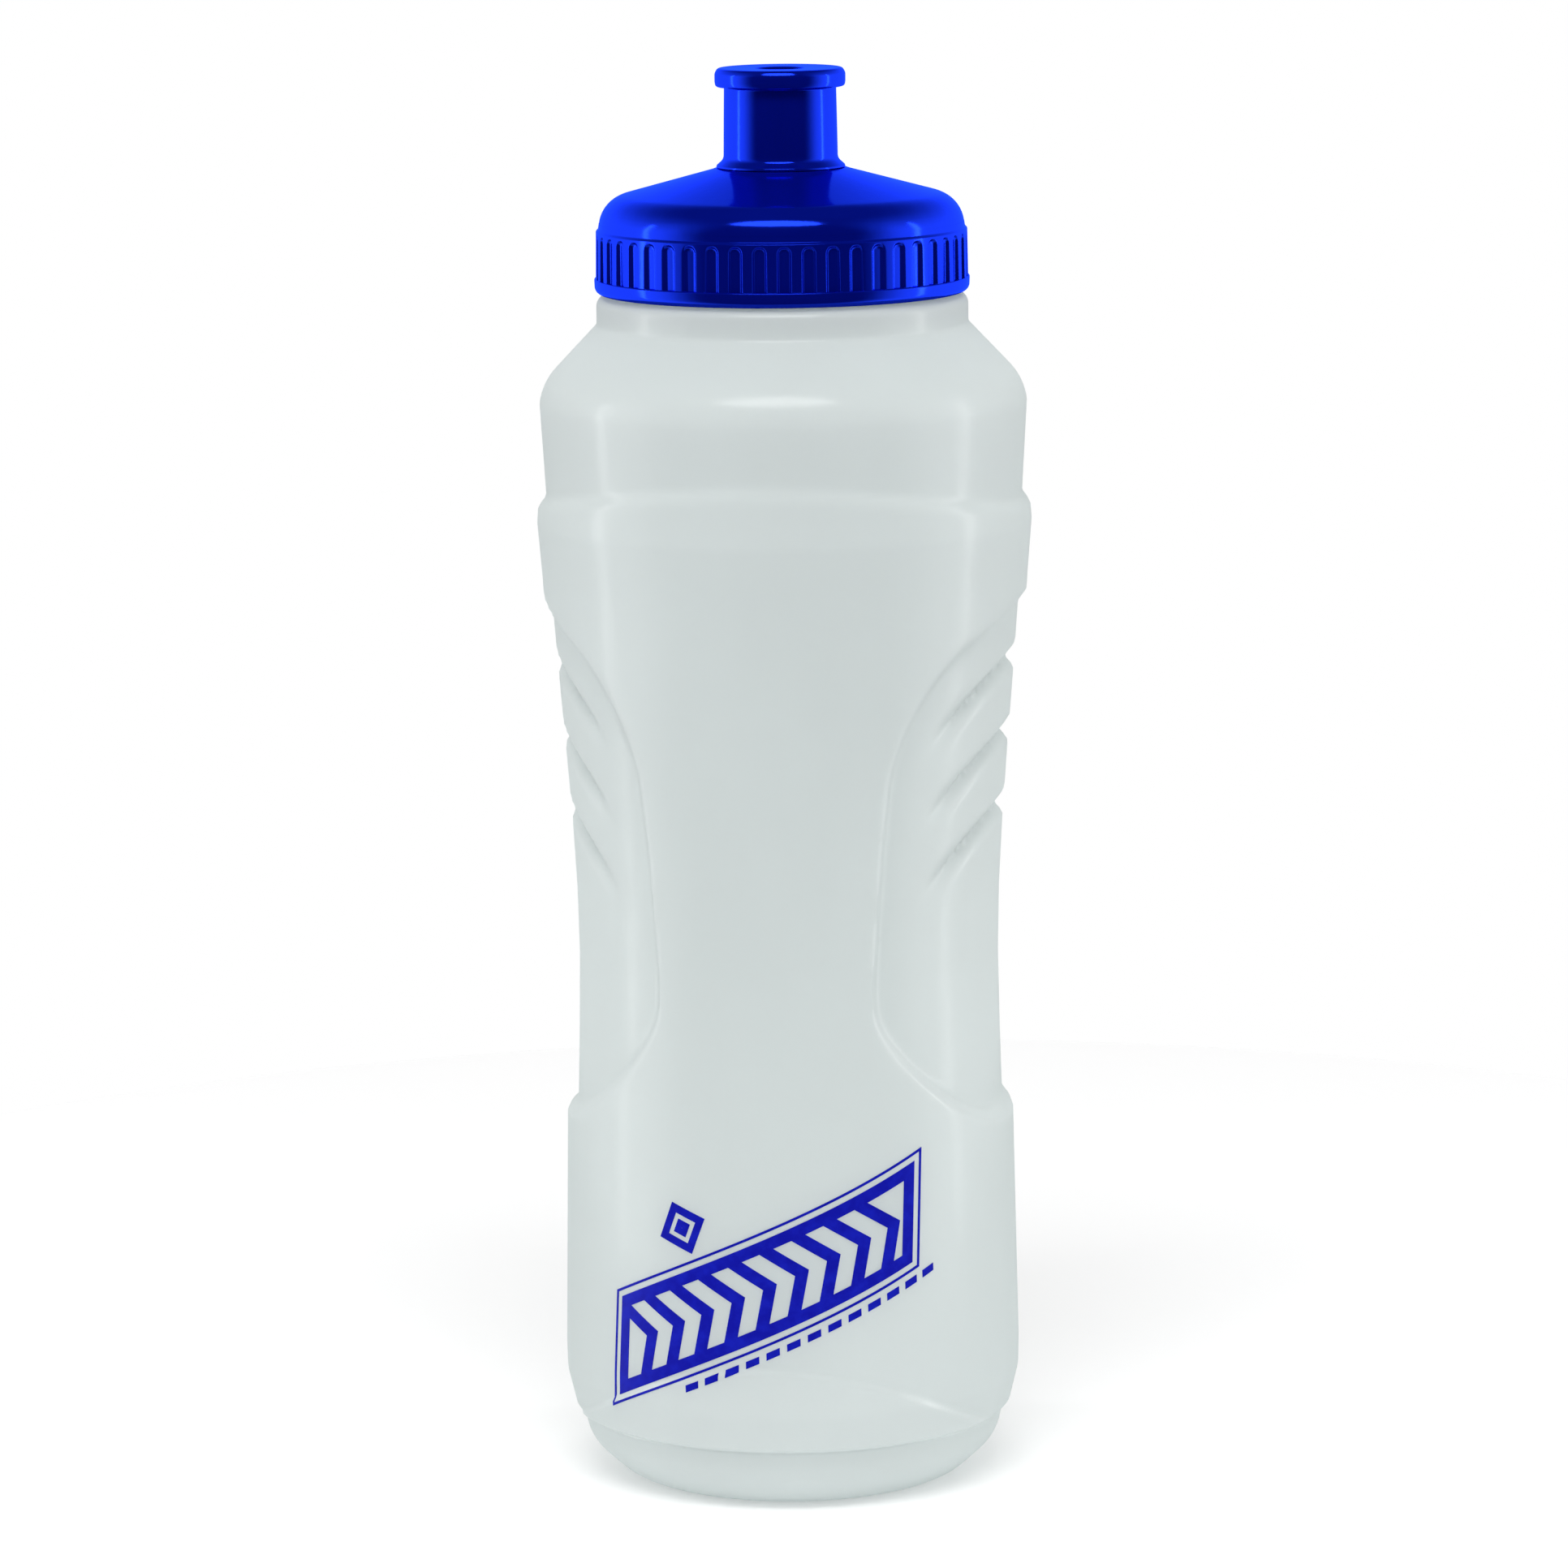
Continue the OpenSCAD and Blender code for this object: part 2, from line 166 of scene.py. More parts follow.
def moved_in(path: np.ndarray, distance: float) -> np.ndarray:
    """An outline that runs upwards, moved towards the axis along its own normal.

    Args:
        path: Rows of radius and height.
        distance: How far it moves.

    Returns:
        The moved outline, with a row for each row of path.
    """
    run = np.gradient(path, axis=0)
    run = run / np.linalg.norm(run, axis=1, keepdims=True)
    return path + distance * np.column_stack([-run[:, 1], run[:, 0]])


def around(radius: np.ndarray, angle: np.ndarray, height: np.ndarray) -> np.ndarray:
    """Places points by their distance from the axis, their angle and their height.

    Args:
        radius: Distance from the bottle's axis.
        angle: Angle from the front towards +X, in radians.
        height: Height.

    Returns:
        The points, with x, y, z last.
    """
    return np.stack(
        np.broadcast_arrays(radius * np.sin(angle), -radius * np.cos(angle), height), -1
    )


class Skin:
    """A closed surface, gathered ring by ring along an outline.

    Rings run from the front towards +X, and an outline that runs up the outside and down the
    inside gets faces that look outwards.
    """

    def __init__(self) -> None:
        """Starts with no points and no faces."""
        self.points: list[np.ndarray] = []
        self.quads: list[np.ndarray] = []
        self.triangles: list[np.ndarray] = []
        self.count = 0

    def add(self, points: np.ndarray) -> np.ndarray:
        """Adds a grid of points.

        Args:
            points: Any grid of x, y, z.

        Returns:
            The points' numbers, as a grid of the same shape.
        """
        shape = points.shape[:-1]
        number = self.count + np.arange(int(np.prod(shape))).reshape(shape)
        self.points.append(points.reshape(-1, 3))
        self.count += number.size
        return number

    def tube(self, grid: np.ndarray) -> tuple[np.ndarray, np.ndarray]:
        """Adds rows of closed rings, with a face between each two points and the next row's.

        Args:
            grid: Rows, columns and x, y, z.

        Returns:
            The numbers of the first and of the last ring's points.
        """
        n = self.add(grid)
        right = np.roll(n, -1, axis=1)
        faces = np.stack([n[:-1], right[:-1], right[1:], n[1:]], -1)
        self.quads.append(faces.reshape(-1, 4))
        return n[0], n[-1]

    def join(self, lower: np.ndarray, upper: np.ndarray) -> None:
        """Joins two rings. One may have a whole number of times the other's points.

        Where they differ, each side of the coarser ring is the base of one triangle, whose tip is
        the middle one of the finer points above that side, and a fan of triangles at each of its
        ends takes the other finer points.

        Args:
            lower: The earlier ring along the outline.
            upper: The later ring.
        """
        if len(lower) == len(upper):
            faces = np.stack([lower, np.roll(lower, -1), np.roll(upper, -1), upper], -1)
            self.quads.append(faces)
            return
        fine_first = len(lower) > len(upper)
        fine, coarse = (lower, upper) if fine_first else (upper, lower)
        ratio = len(fine) // len(coarse)
        at, after = fine.reshape(-1, ratio), np.roll(fine, -1).reshape(-1, ratio)
        near, far = coarse[:, None], np.roll(coarse, -1)[:, None]
        tip = np.where(np.arange(ratio) < ratio // 2, near, far)
        middle = np.roll(fine, -(ratio // 2)).reshape(-1, ratio)[:, :1]
        fans = np.stack([at, after, tip], -1).reshape(-1, 3)
        bases = np.concatenate([middle, far, near], 1)
        faces = np.vstack([fans, bases])
        self.triangles.append(faces if fine_first else faces[:, ::-1])

    def pole(self, ring: np.ndarray, centre: np.ndarray, first: bool) -> None:
        """Closes a ring with a point.

        Args:
            ring: The ring's numbers.
            centre: The point.
            first: True when the point comes before the ring along the outline.
        """
        tip = np.full(len(ring), self.add(centre[None])[0])
        after = np.roll(ring, -1)
        self.triangles.append(np.stack([tip, after, ring] if first else [ring, after, tip], -1))


def make_piece(skin: Skin, name: str, smooth_angle: float = 40.0) -> bpy.types.Object:
    """Makes one mesh object from a skin, at the origin, with its place in its mesh.

    The volume under the faces, a sixth of the sum of a . (b x c) over their triangles, says
    whether they look outwards; if not, every face is turned over.

    Args:
        skin: The gathered surface, in millimetres.
        name: The piece's name.
        smooth_angle: The angle between faces, in degrees, from which an edge is sharp.

    Returns:
        The new object, linked to the scene.
    """
    points = np.vstack(skin.points) * MM
    quads = np.vstack(skin.quads) if skin.quads else np.empty((0, 4), int)
    triangles = np.vstack(skin.triangles) if skin.triangles else np.empty((0, 3), int)
    split = np.vstack([quads[:, [0, 1, 2]], quads[:, [0, 2, 3]], triangles])
    a, b, c = points[split[:, 0]], points[split[:, 1]], points[split[:, 2]]
    if (a * np.cross(b, c)).sum() < 0:
        quads, triangles = quads[:, ::-1], triangles[:, ::-1]
    mesh = bpy.data.meshes.new(name)
    mesh.vertices.add(len(points))
    mesh.vertices.foreach_set("co", points.ravel())
    corners = np.concatenate([quads.ravel(), triangles.ravel()])
    mesh.loops.add(len(corners))
    mesh.loops.foreach_set("vertex_index", corners)
    starts = np.concatenate(
        [np.arange(len(quads)) * 4, quads.size + np.arange(len(triangles)) * 3]
    )
    mesh.polygons.add(len(starts))
    mesh.polygons.foreach_set("loop_start", starts)
    mesh.update(calc_edges=True)
    mesh.validate()
    mesh.shade_smooth()
    mesh.set_sharp_from_angle(angle=math.radians(smooth_angle))
    piece = bpy.data.objects.new(name, mesh)
    bpy.context.scene.collection.objects.link(piece)
    return piece


def revolve(outline: np.ndarray, columns: int) -> Skin:
    """Turns a closed outline around the axis: the point (r, z) goes to every angle.

    Args:
        outline: Rows of radius and height; the last row repeats the first.
        columns: Points around each ring.

    Returns:
        The closed skin.
    """
    angle = np.arange(columns) * 2 * np.pi / columns
    rows = outline[:-1]
    skin = Skin()
    first, last = skin.tube(around(rows[:, :1], angle[None], rows[:, 1:]))
    skin.join(last, first)
    return skin


# ---- finishes ------------------------------------------------------------------------------------


class Shader:
    """A material under construction around one Principled shader."""

    def __init__(self, name: str) -> None:
        """Makes the material and keeps its nodes.

        Args:
            name: The material's name.
        """
        self.material = bpy.data.materials.new(name)
        self.material.use_nodes = True
        self.tree = self.material.node_tree
        self.surface = self.tree.nodes["Principled BSDF"]

    def node(self, kind: str) -> bpy.types.Node:
        """Adds a node of a type."""
        return self.tree.nodes.new(kind)

    def link(self, source: bpy.types.NodeSocket, target: bpy.types.NodeSocket) -> None:
        """Joins an output to an input."""
        self.tree.links.new(source, target)

    def set(self, **values: object) -> None:
        """Sets the Principled shader's own sockets, named with _ for each space."""
        for key, value in values.items():
            self.surface.inputs[key.replace("_", " ")].default_value = value

    def noise(
        self, scale: float, detail: float, stretch: tuple[float, float, float]
    ) -> bpy.types.Node:
        """A noise pattern on the object's own coordinates.

        Args:
            scale: Repeats in a metre.
            detail: Octaves.
            stretch: How much each axis is squeezed before the noise is read.

        Returns:
            The noise node.
        """
        place = self.node("ShaderNodeTexCoord")
        mapping = self.node("ShaderNodeMapping")
        mapping.inputs["Scale"].default_value = stretch
        pattern = self.node("ShaderNodeTexNoise")
        pattern.inputs["Scale"].default_value = scale
        pattern.inputs["Detail"].default_value = detail
        self.link(place.outputs["Object"], mapping.inputs["Vector"])
        self.link(mapping.outputs["Vector"], pattern.inputs["Vector"])
        return pattern

    def ramp(self, source: bpy.types.NodeSocket, *stops: tuple[float, tuple]) -> bpy.types.Node:
        """Colours a pattern.

        Args:
            source: The pattern's value.
            stops: The two stops' places and colours.

        Returns:
            The ramp node.
        """
        made = self.node("ShaderNodeValToRGB")
        for element, (place, colour) in zip(made.color_ramp.elements, stops):
            element.position, element.color = place, (*colour, 1.0)
        self.link(source, made.inputs["Fac"])
        return made

    def bumps(self, *layers: tuple[bpy.types.NodeSocket, float, float]) -> None:
        """Stacks bump layers on the surface's normal.

        Args:
            layers: For each, a height pattern, its strength and its depth in metres.
        """
        below = None
        for pattern, strength, depth in layers:
            bump = self.node("ShaderNodeBump")
            bump.inputs["Strength"].default_value = strength
            bump.inputs["Distance"].default_value = depth
            self.link(pattern, bump.inputs["Height"])
            if below is not None:
                self.link(below.outputs["Normal"], bump.inputs["Normal"])
            below = bump
        for made in self.tree.nodes:
            if made.type in ("BSDF_PRINCIPLED", "BSDF_GLOSSY", "BSDF_TRANSLUCENT", "FRESNEL"):
                self.link(below.outputs["Normal"], made.inputs["Normal"])

    def blend(self, share: bpy.types.NodeSocket | float, other: bpy.types.Node) -> None:
        """Mixes what the surface shows so far with another shader.

        Args:
            share: How much of the other one shows: a number, or a socket that gives it.
            other: The other shader's node.
        """
        mix = self.node("ShaderNodeMixShader")
        if isinstance(share, float):
            mix.inputs["Fac"].default_value = share
        else:
            self.link(share, mix.inputs["Fac"])
        shown = self.tree.nodes["Material Output"].inputs["Surface"]
        self.link(shown.links[0].from_socket, mix.inputs[1])
        self.link(other.outputs["BSDF"], mix.inputs[2])
        self.link(mix.outputs["Shader"], shown)


@dataclass(frozen=True)
class MilkyPlastic:
    """Blow-moulded, uncoloured polyethylene: a thin, cloudy wall that lets most light through."""

    name: str = "milky_polyethylene"
    pale: tuple[float, float, float] = (0.904, 0.936, 0.932)
    deep: tuple[float, float, float] = (0.882, 0.913, 0.909)
    roughness: float = 0.21
    through: float = 0.62
    sheen: float = 0.025

    def build(self) -> bpy.types.Material:
        """Cloudy colour, light that comes through the wall, and a faintly rippled, matt skin."""
        shader = Shader(self.name)
        cloud = shader.noise(26.0, 3.0, (1.0, 1.0, 0.45))
        tone = shader.ramp(cloud.outputs["Fac"], (0.30, self.deep), (0.68, self.pale))
        shader.link(tone.outputs["Color"], shader.surface.inputs["Base Color"])
        shader.set(Roughness=0.8, IOR=1.51, Specular_IOR_Level=0.0)
        glow = shader.node("ShaderNodeBsdfTranslucent")
        shader.link(tone.outputs["Color"], glow.inputs["Color"])
        shader.blend(self.through, glow)
        shine = shader.node("ShaderNodeBsdfGlossy")
        shine.inputs["Roughness"].default_value = self.roughness
        shader.blend(self.sheen, shine)
        ripple = shader.noise(90.0, 2.0, (1.0, 1.0, 0.35))
        grain = shader.noise(2600.0, 2.0, (1.0, 1.0, 1.0))
        shader.bumps(
            (ripple.outputs["Fac"], 0.25, 0.0006),
            (grain.outputs["Fac"], 0.12, 0.00005),
        )
        return shader.material


@dataclass(frozen=True)
class BluePlastic:
    """Injection-moulded, deep blue polypropylene with a polished skin."""

    name: str = "blue_polypropylene"
    body: tuple[float, float, float] = (0.0007, 0.0040, 0.19)
    shade: tuple[float, float, float] = (0.0006, 0.0034, 0.16)
    gloss: tuple[float, float, float] = (0.011, 0.048, 1.0)
    roughness: float = 0.12
    bend: float = 3.0

    def build(self) -> bpy.types.Material:
        """Blue with faint flow marks from the moulding, and a slight orange-peel skin."""
        shader = Shader(self.name)
        flow = shader.noise(60.0, 4.0, (1.0, 1.0, 0.3))
        tone = shader.ramp(flow.outputs["Fac"], (0.30, self.shade), (0.70, self.body))
        shader.link(tone.outputs["Color"], shader.surface.inputs["Base Color"])
        shader.set(Roughness=0.5, IOR=1.49, Specular_IOR_Level=0.0)
        shine = shader.node("ShaderNodeBsdfGlossy")
        shine.inputs["Color"].default_value = (*self.gloss, 1.0)
        shine.inputs["Roughness"].default_value = self.roughness
        edge = shader.node("ShaderNodeFresnel")
        edge.inputs["IOR"].default_value = self.bend
        shader.blend(edge.outputs["Fac"], shine)
        peel = shader.noise(700.0, 2.0, (1.0, 1.0, 1.0))
        grain = shader.noise(5200.0, 1.0, (1.0, 1.0, 1.0))
        shader.bumps(
            (peel.outputs["Fac"], 0.10, 0.00008),
            (grain.outputs["Fac"], 0.05, 0.00002),
        )
        return shader.material


@dataclass(frozen=True)
class SealRubber:
    """Soft, off-white sealing foam."""

    name: str = "seal_rubber"
    light: tuple[float, float, float] = (0.82, 0.82, 0.78)
    dark: tuple[float, float, float] = (0.72, 0.72, 0.68)

    def build(self) -> bpy.types.Material:
        """Slightly uneven off-white with a fine closed-cell grain."""
        shader = Shader(self.name)
        cells = shader.noise(1800.0, 3.0, (1.0, 1.0, 1.0))
        tone = shader.ramp(cells.outputs["Fac"], (0.35, self.dark), (0.65, self.light))
        shader.link(tone.outputs["Color"], shader.surface.inputs["Base Color"])
        shader.set(Roughness=0.62, IOR=1.5)
        shader.bumps((cells.outputs["Fac"], 0.3, 0.0001))
        return shader.material


@dataclass(frozen=True)
class PrintInk:
    """Navy silk-screen ink on plastic."""

    name: str = "navy_screen_ink"
    full: tuple[float, float, float] = (0.001, 0.003, 0.34)
    thin: tuple[float, float, float] = (0.003, 0.008, 0.42)

    def build(self) -> bpy.types.Material:
        """Navy that is a little thinner in places, with the screen's fine mesh in its surface."""
        shader = Shader(self.name)
        cover = shader.noise(420.0, 4.0, (1.0, 1.0, 1.0))
        tone = shader.ramp(cover.outputs["Fac"], (0.35, self.thin), (0.60, self.full))
        shader.link(tone.outputs["Color"], shader.surface.inputs["Base Color"])
        shader.set(Roughness=0.42, IOR=1.48, Specular_IOR_Level=0.1)
        mesh = shader.noise(6000.0, 1.0, (1.0, 1.0, 1.0))
        shader.bumps((mesh.outputs["Fac"], 0.15, 0.00003))
        return shader.material


@dataclass(frozen=True)
class StudioPaper:
    """The pale floor's finish."""

    name: str = "studio_floor"
    tone: tuple[float, float, float] = (0.95, 0.95, 0.95)
    own_light: float = 0.165

    def build(self) -> bpy.types.Material:
        """An even, matt, almost white sheet with some light of its own, as on a light table."""
        shader = Shader(self.name)
        shader.set(
            Base_Color=(*self.tone, 1.0),
            Roughness=0.9,
            Specular_IOR_Level=0.1,
            Emission_Color=(1.0, 1.0, 1.0, 1.0),
            Emission_Strength=self.own_light,
        )
        return shader.material


# ---- placing pieces ------------------------------------------------------------------------------


def settle(
    piece: bpy.types.Object,
    material: bpy.types.Material,
    body: Body,
    stands_for: str | None = None,
) -> bpy.types.Object:
    """Gives a finished piece its material and its place among the frame's bodies.

    Args:
        piece: The finished object.
        material: Its finish.
        body: The body that it moves with.
        stands_for: The CAD node that it replaces.

    Returns:
        The piece.
    """
    piece.data.materials.append(material)
    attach(piece, body.value)
    if stands_for is not None:
        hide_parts(stands_for)
    triangles = sum(len(p.vertices) - 2 for p in piece.data.polygons)
    log.info("%s: %d triangles on body %s", piece.name, triangles, body.value)
    return piece


# ---- bottle --------------------------------------------------------------------------------------


@dataclass
class GripPanel:
    """The sunken hand grips on the bottle's two sides, with their finger grooves."""

    half_width: float = 34.6
    bottom: float = 67.0
    top: float = 159.5
    arch_radius: float = 50.0
    low_corner: float = 25.0
    high_corner: float = 10.0
    edge_width: float = 2.4
    groove_middle: float = 122.2
    groove_pitch: float = 13.2
    groove_count: int = 3
    groove_drop: float = 42.5
    groove_half: float = 2.6
    groove_depth: float = 2.3
    groove_radius: float = 39.5
    groove_starts: float = 43.0
    groove_full: float = 62.0
    valley_round: float = 0.22

    def floor(self, height: np.ndarray) -> np.ndarray:
        """The radius of the panel's floor, straight between its gentle bends.

        Args:
            height: Height.

        Returns:
            The radius at each height.
        """
        heights = np.array([57.0, 67.0, 81.0, 95.0, 107.0, 119.0, 131.0, 143.5, 159.5, 169.5])
        radii = np.array([38.45, 38.25, 37.85, 37.6, 37.85, 38.5, 39.4, 40.4, 41.6, 42.4])
        return np.interp(height, heights, radii)

    def outside(self, across: np.ndarray, height: np.ndarray) -> np.ndarray:
        """How far a point lies outside the panel's outline, seen from the bottle's side.

        The outline is where a circle, whose top is the arch, meets a rectangle with two rounded
        lower corners. Their distances d1 and d2 are joined by a rounded corner of radius r:
        |(d1 + r, d2 + r)| - r where both are above -r, and the larger of them elsewhere.

        Args:
            across: Distance from the panel's middle, along the bottle's Y.
            height: Height.

        Returns:
            The distance in millimetres, below 0 inside.
        """
        arch = np.hypot(across, height - (self.top - self.arch_radius)) - self.arch_radius
        r = self.low_corner
        dx = np.abs(across) - (self.half_width - r)
        dz = (self.bottom + r) - height
        box = np.hypot(np.maximum(dx, 0), np.maximum(dz, 0)) + np.minimum(np.maximum(dx, dz), 0) - r
        k = self.high_corner
        round_off = np.hypot(np.maximum(arch + k, 0), np.maximum(box + k, 0)) - k
        return np.where(np.minimum(arch, box) > -k, round_off, np.maximum(arch, box))

    def sunk(self, angle: np.ndarray, height: np.ndarray, wall: np.ndarray) -> np.ndarray:
        """How much of the panel's depth is reached: 0 on the bottle's face and 1 on the floor.

        The outline's distance is divided by its own slope along the wall, so that the edge is
        equally wide where the wall turns away.

        Args:
            angle: Angle from the front, in radians.
            height: Height.
            wall: The wall's radius there.

        Returns:
            The share from 0 to 1.
        """
        tiny = 0.05
        across = wall * np.abs(np.cos(angle))
        here = self.outside(across, height)
        slope_y = (self.outside(across + tiny, height) - here) / tiny
        slope_z = (self.outside(across, height + tiny) - here) / tiny
        slope = np.hypot(slope_y * np.sin(angle), slope_z)
        return 1.0 - ease(here / np.maximum(slope, 0.2), -self.edge_width / 2, self.edge_width / 2)

    def grooves(self, angle: np.ndarray, height: np.ndarray) -> np.ndarray:
        """Depth of the finger grooves, which arch over the bottle's side.

        A groove's middle lies at z0 - drop * (1 - |sin angle|). At u, the distance from it over
        the half width, the depth is (1 - u)^1.5 of its full depth, a narrow valley between round
        lobes, and it fades out towards the front and the back, between two angles.

        Args:
            angle: Angle from the front, in radians.
            height: Height.

        Returns:
            The depth in millimetres.
        """
        side = np.abs(np.sin(angle))
        lean = np.hypot(1.0, self.groove_drop * np.cos(angle) / self.groove_radius)
        starts, full = np.sin(np.radians([self.groove_starts, self.groove_full]))
        fade = ease(side, starts, full)
        depth = np.zeros(np.broadcast(angle, height).shape)
        for i in range(self.groove_count):
            middle = self.groove_middle + i * self.groove_pitch - self.groove_drop * (1 - side)
            off = np.hypot((height - middle) / lean, self.valley_round)
            share = np.clip(1.0 - off / self.groove_half, 0.0, 1.0) ** 1.5
            depth = np.maximum(depth, share * fade * self.groove_depth)
        return depth


@dataclass
class BottleShell:
    """The blow-moulded bottle: base, heel, slim body with grips, waist, shoulder and neck."""

    panel: GripPanel
    material: bpy.types.Material
    wall: float = 1.2
    columns: int = 320
    inner_columns: int = 80
    dish: float = 2.0
    heel_line: float = 11.75
    waist_middle: float = 179.6
    waist_wave: float = 3.0
    ledge_below: float = 1.4
    ledge_above: float = 1.3
    waist_radius: float = 42.35
    waist_foot: float = 178.5
    waist_lean: float = 0.0573
    waist_end: float = 194.6
    collar_start: float = 211.0
    arch_centre: float = -25.0
    arch_radius: float = 52.0
    arch_height: float = 0.7
    arch_edge: float = 0.6

    def __post_init__(self) -> None:
        """Works out the plain body's outline, from the heel to the neck."""
        self.plain = bend_corners(np.array([
            (22.0, 0.0, 0.0), (30.0, 0.0, 8.0), (37.0, 6.5, 8.0), (38.0, 11.2, 0.2),
            (37.8, 11.7, 0.35), (39.4, 12.5, 0.6), (40.9, 18.7, 6.0), (41.0, 23.7, 12.0),
            (40.2, 66.0, 90.0), (39.7, 95.0, 90.0), (40.6, 120.0, 90.0), (43.2, 163.0, 20.0),
            (44.0, 173.0, 1.5), (43.7, 177.0, 4.0), (43.3, 188.0, 20.0), (43.4, 197.0, 11.0),
            (32.95, 208.0, 1.2), (32.95, 213.2, 2.0), (29.8, 213.2, 0.4), (29.8, 224.2, 0.5),
            (27.9, 224.2, 0.3), (27.9, 216.0, 0.0),
        ]))

    def plain_radius(self, height: np.ndarray) -> np.ndarray:
        """The plain body's radius between the heel and the collar.

        Args:
            height: Height.

        Returns:
            The radius at each height.
        """
        r, z = self.plain.T
        rising = (z > self.heel_line + 0.05) & (z < self.collar_start) & (r > 32.0)
        return np.interp(height, z[rising], r[rising])

    def change(self, angle: np.ndarray, height: np.ndarray) -> np.ndarray:
        """How far the wall stands from the plain body: waist, grips, grooves and low arch.

        The waist starts at z = middle + wave * cos(2 angle). The low arch is a circle seen from
        the front; the wall below it stands proud.

        Args:
            angle: Angle from the front, in radians.
            height: Height.

        Returns:
            The change of radius in millimetres.
        """
        plain = self.plain_radius(height)
        edge = self.waist_middle + self.waist_wave * np.cos(2 * angle)
        waist = self.waist_radius + (height - self.waist_foot) * self.waist_lean
        share = ease(height, edge - self.ledge_below, edge + self.ledge_above)
        share = share * (height < self.waist_end)
        radius = plain + share * np.minimum(waist - plain, 0.0)
        sunk = self.panel.sunk(angle, height, radius)
        floor = np.minimum(self.panel.floor(height), radius)
        radius = radius + sunk * (floor - radius) - sunk * self.panel.grooves(angle, height)
        front = np.cos(angle) > 0
        over = np.hypot(plain * np.sin(angle), height - self.arch_centre) - self.arch_radius
        proud = (1.0 - ease(over, -self.arch_edge, self.arch_edge)) * front
        proud = proud * (height > self.heel_line)
        return radius + self.arch_height * proud - plain

    def radius(self, angle: np.ndarray, height: np.ndarray) -> np.ndarray:
        """The finished wall's outer radius, in millimetres."""
        return self.plain_radius(height) + self.change(angle, height)

    def block(self, rows: np.ndarray, columns: int) -> np.ndarray:
        """Turns rows of radius and height around the axis, with the wall's changes on them.

        Args:
            rows: Rows of radius and height.
            columns: Points around each ring.

        Returns:
            A grid of x, y, z.
        """
        angle = (np.arange(columns) * 2 * np.pi / columns)[None]
        r, z = rows.T
        on_wall = ((z > self.heel_line + 0.05) & (z < 200.0) & (r > 36.0))[:, None]
        change = np.where(on_wall, self.change(angle, rows[:, 1:]), 0.0)
        return around(rows[:, :1] + change, angle, rows[:, 1:])

    def build(self) -> bpy.types.Object:
        """Builds the shell as one closed skin: base, outer wall, lip, inner wall, inner base."""
        skin = Skin()
        base = spread_rows(bend_corners(np.array([
            (1.5, self.dish, 0.0), (19.3, self.dish, 1.5), (22.0, 0.0, 0.8), (23.5, 0.0, 0.0),
        ])), 2.5)
        gaps = np.array([[0, 1.6], [11, 1.2], [12, 0.5], [27, 0.5], [30, 1.6], [50, 1.6],
                         [62, 0.98], [198, 0.98], [204, 1.5], [230, 1.5]])
        outer = self.plain[self.plain[:, 0] > 24.0]
        outer = spread_rows(np.vstack([[(25.0, 0.0)], outer]), gaps, 12.0)
        start, base_ring = skin.tube(self.block(base, self.inner_columns))
        skin.pole(start, np.array([0.0, 0.0, self.dish]), True)
        low_ring, lip_ring = skin.tube(self.block(outer, self.columns))
        skin.join(base_ring, low_ring)
        floor = self.dish + self.wall
        body = self.plain[self.plain[:, 1] < 212.4]
        inside = moved_in(spread_rows(body, 0.5), self.wall)[::-1]
        inside = inside[(inside[:, 1] < self.collar_start) & (inside[:, 1] > self.wall + 0.05)]
        inside = spread_rows(np.vstack([
            [(27.9, 214.0), (27.9, 212.3), (28.6, 212.0), (30.2, 211.9)], inside,
            [(22.6, self.wall), (19.8, floor), (1.5, floor)]]), 3.2, 14.0)
        first, last = skin.tube(self.block(inside, self.inner_columns))
        skin.join(lip_ring, first)
        skin.pole(last, np.array([0.0, 0.0, floor]), False)
        piece = make_piece(skin, "bottle_shell")
        return settle(piece, self.material, Body.BOTTLE, "bottle")


@dataclass
class Thread:
    """A screw thread's ridge, on a neck or inside a skirt."""

    name: str
    wall_radius: float
    side: Side
    start_height: float
    start_angle: float
    pitch: float = 4.2
    height: float = 1.1
    sweep: float = 360.0
    run_out: float = 30.0
    steps: int = 150

    def build(
        self, material: bpy.types.Material, body: Body, slot: Slot, stands_for: str
    ) -> bpy.types.Object:
        """Carries a rounded trapezium along a helix, and tapers its ends.

        The point at share t is at angle start + sweep * t and height z + pitch * turns, and the
        ridge's height is multiplied by a smooth rise over the run-out at either end.

        Args:
            material: The finish.
            body: The body that it moves with.
            slot: The record's slot. Not used.
            stands_for: The CAD node that it is a part of.

        Returns:
            The ridge.
        """
        section = np.array([
            (-0.3, -1.0), (0.0, -0.98), (0.75, -0.66), (0.97, -0.5), (1.0, -0.34),
            (1.0, 0.34), (0.97, 0.5), (0.75, 0.66), (0.0, 0.98), (-0.3, 1.0)])
        share = np.linspace(0.0, 1.0, self.steps)[:, None]
        rise = ease(share * self.sweep, 0, self.run_out)
        rise = 0.05 + 0.95 * rise * ease((1 - share) * self.sweep, 0, self.run_out)
        out = np.where(section[:, 0] > 0, section[:, 0] * self.height * rise, section[:, 0])
        angle = np.radians(self.start_angle + self.sweep * share)
        up = self.start_height + self.pitch * share * self.sweep / 360 + section[:, 1]
        skin = Skin()
        grid = around(self.wall_radius + self.side.value * out, angle, up)
        first, last = skin.tube(grid)
        skin.pole(first, grid[0].mean(0), True)
        skin.pole(last, grid[-1].mean(0), False)
        piece = make_piece(skin, self.name)
        return settle(piece, material, body, stands_for)


# ---- lid -----------------------------------------------------------------------------------------


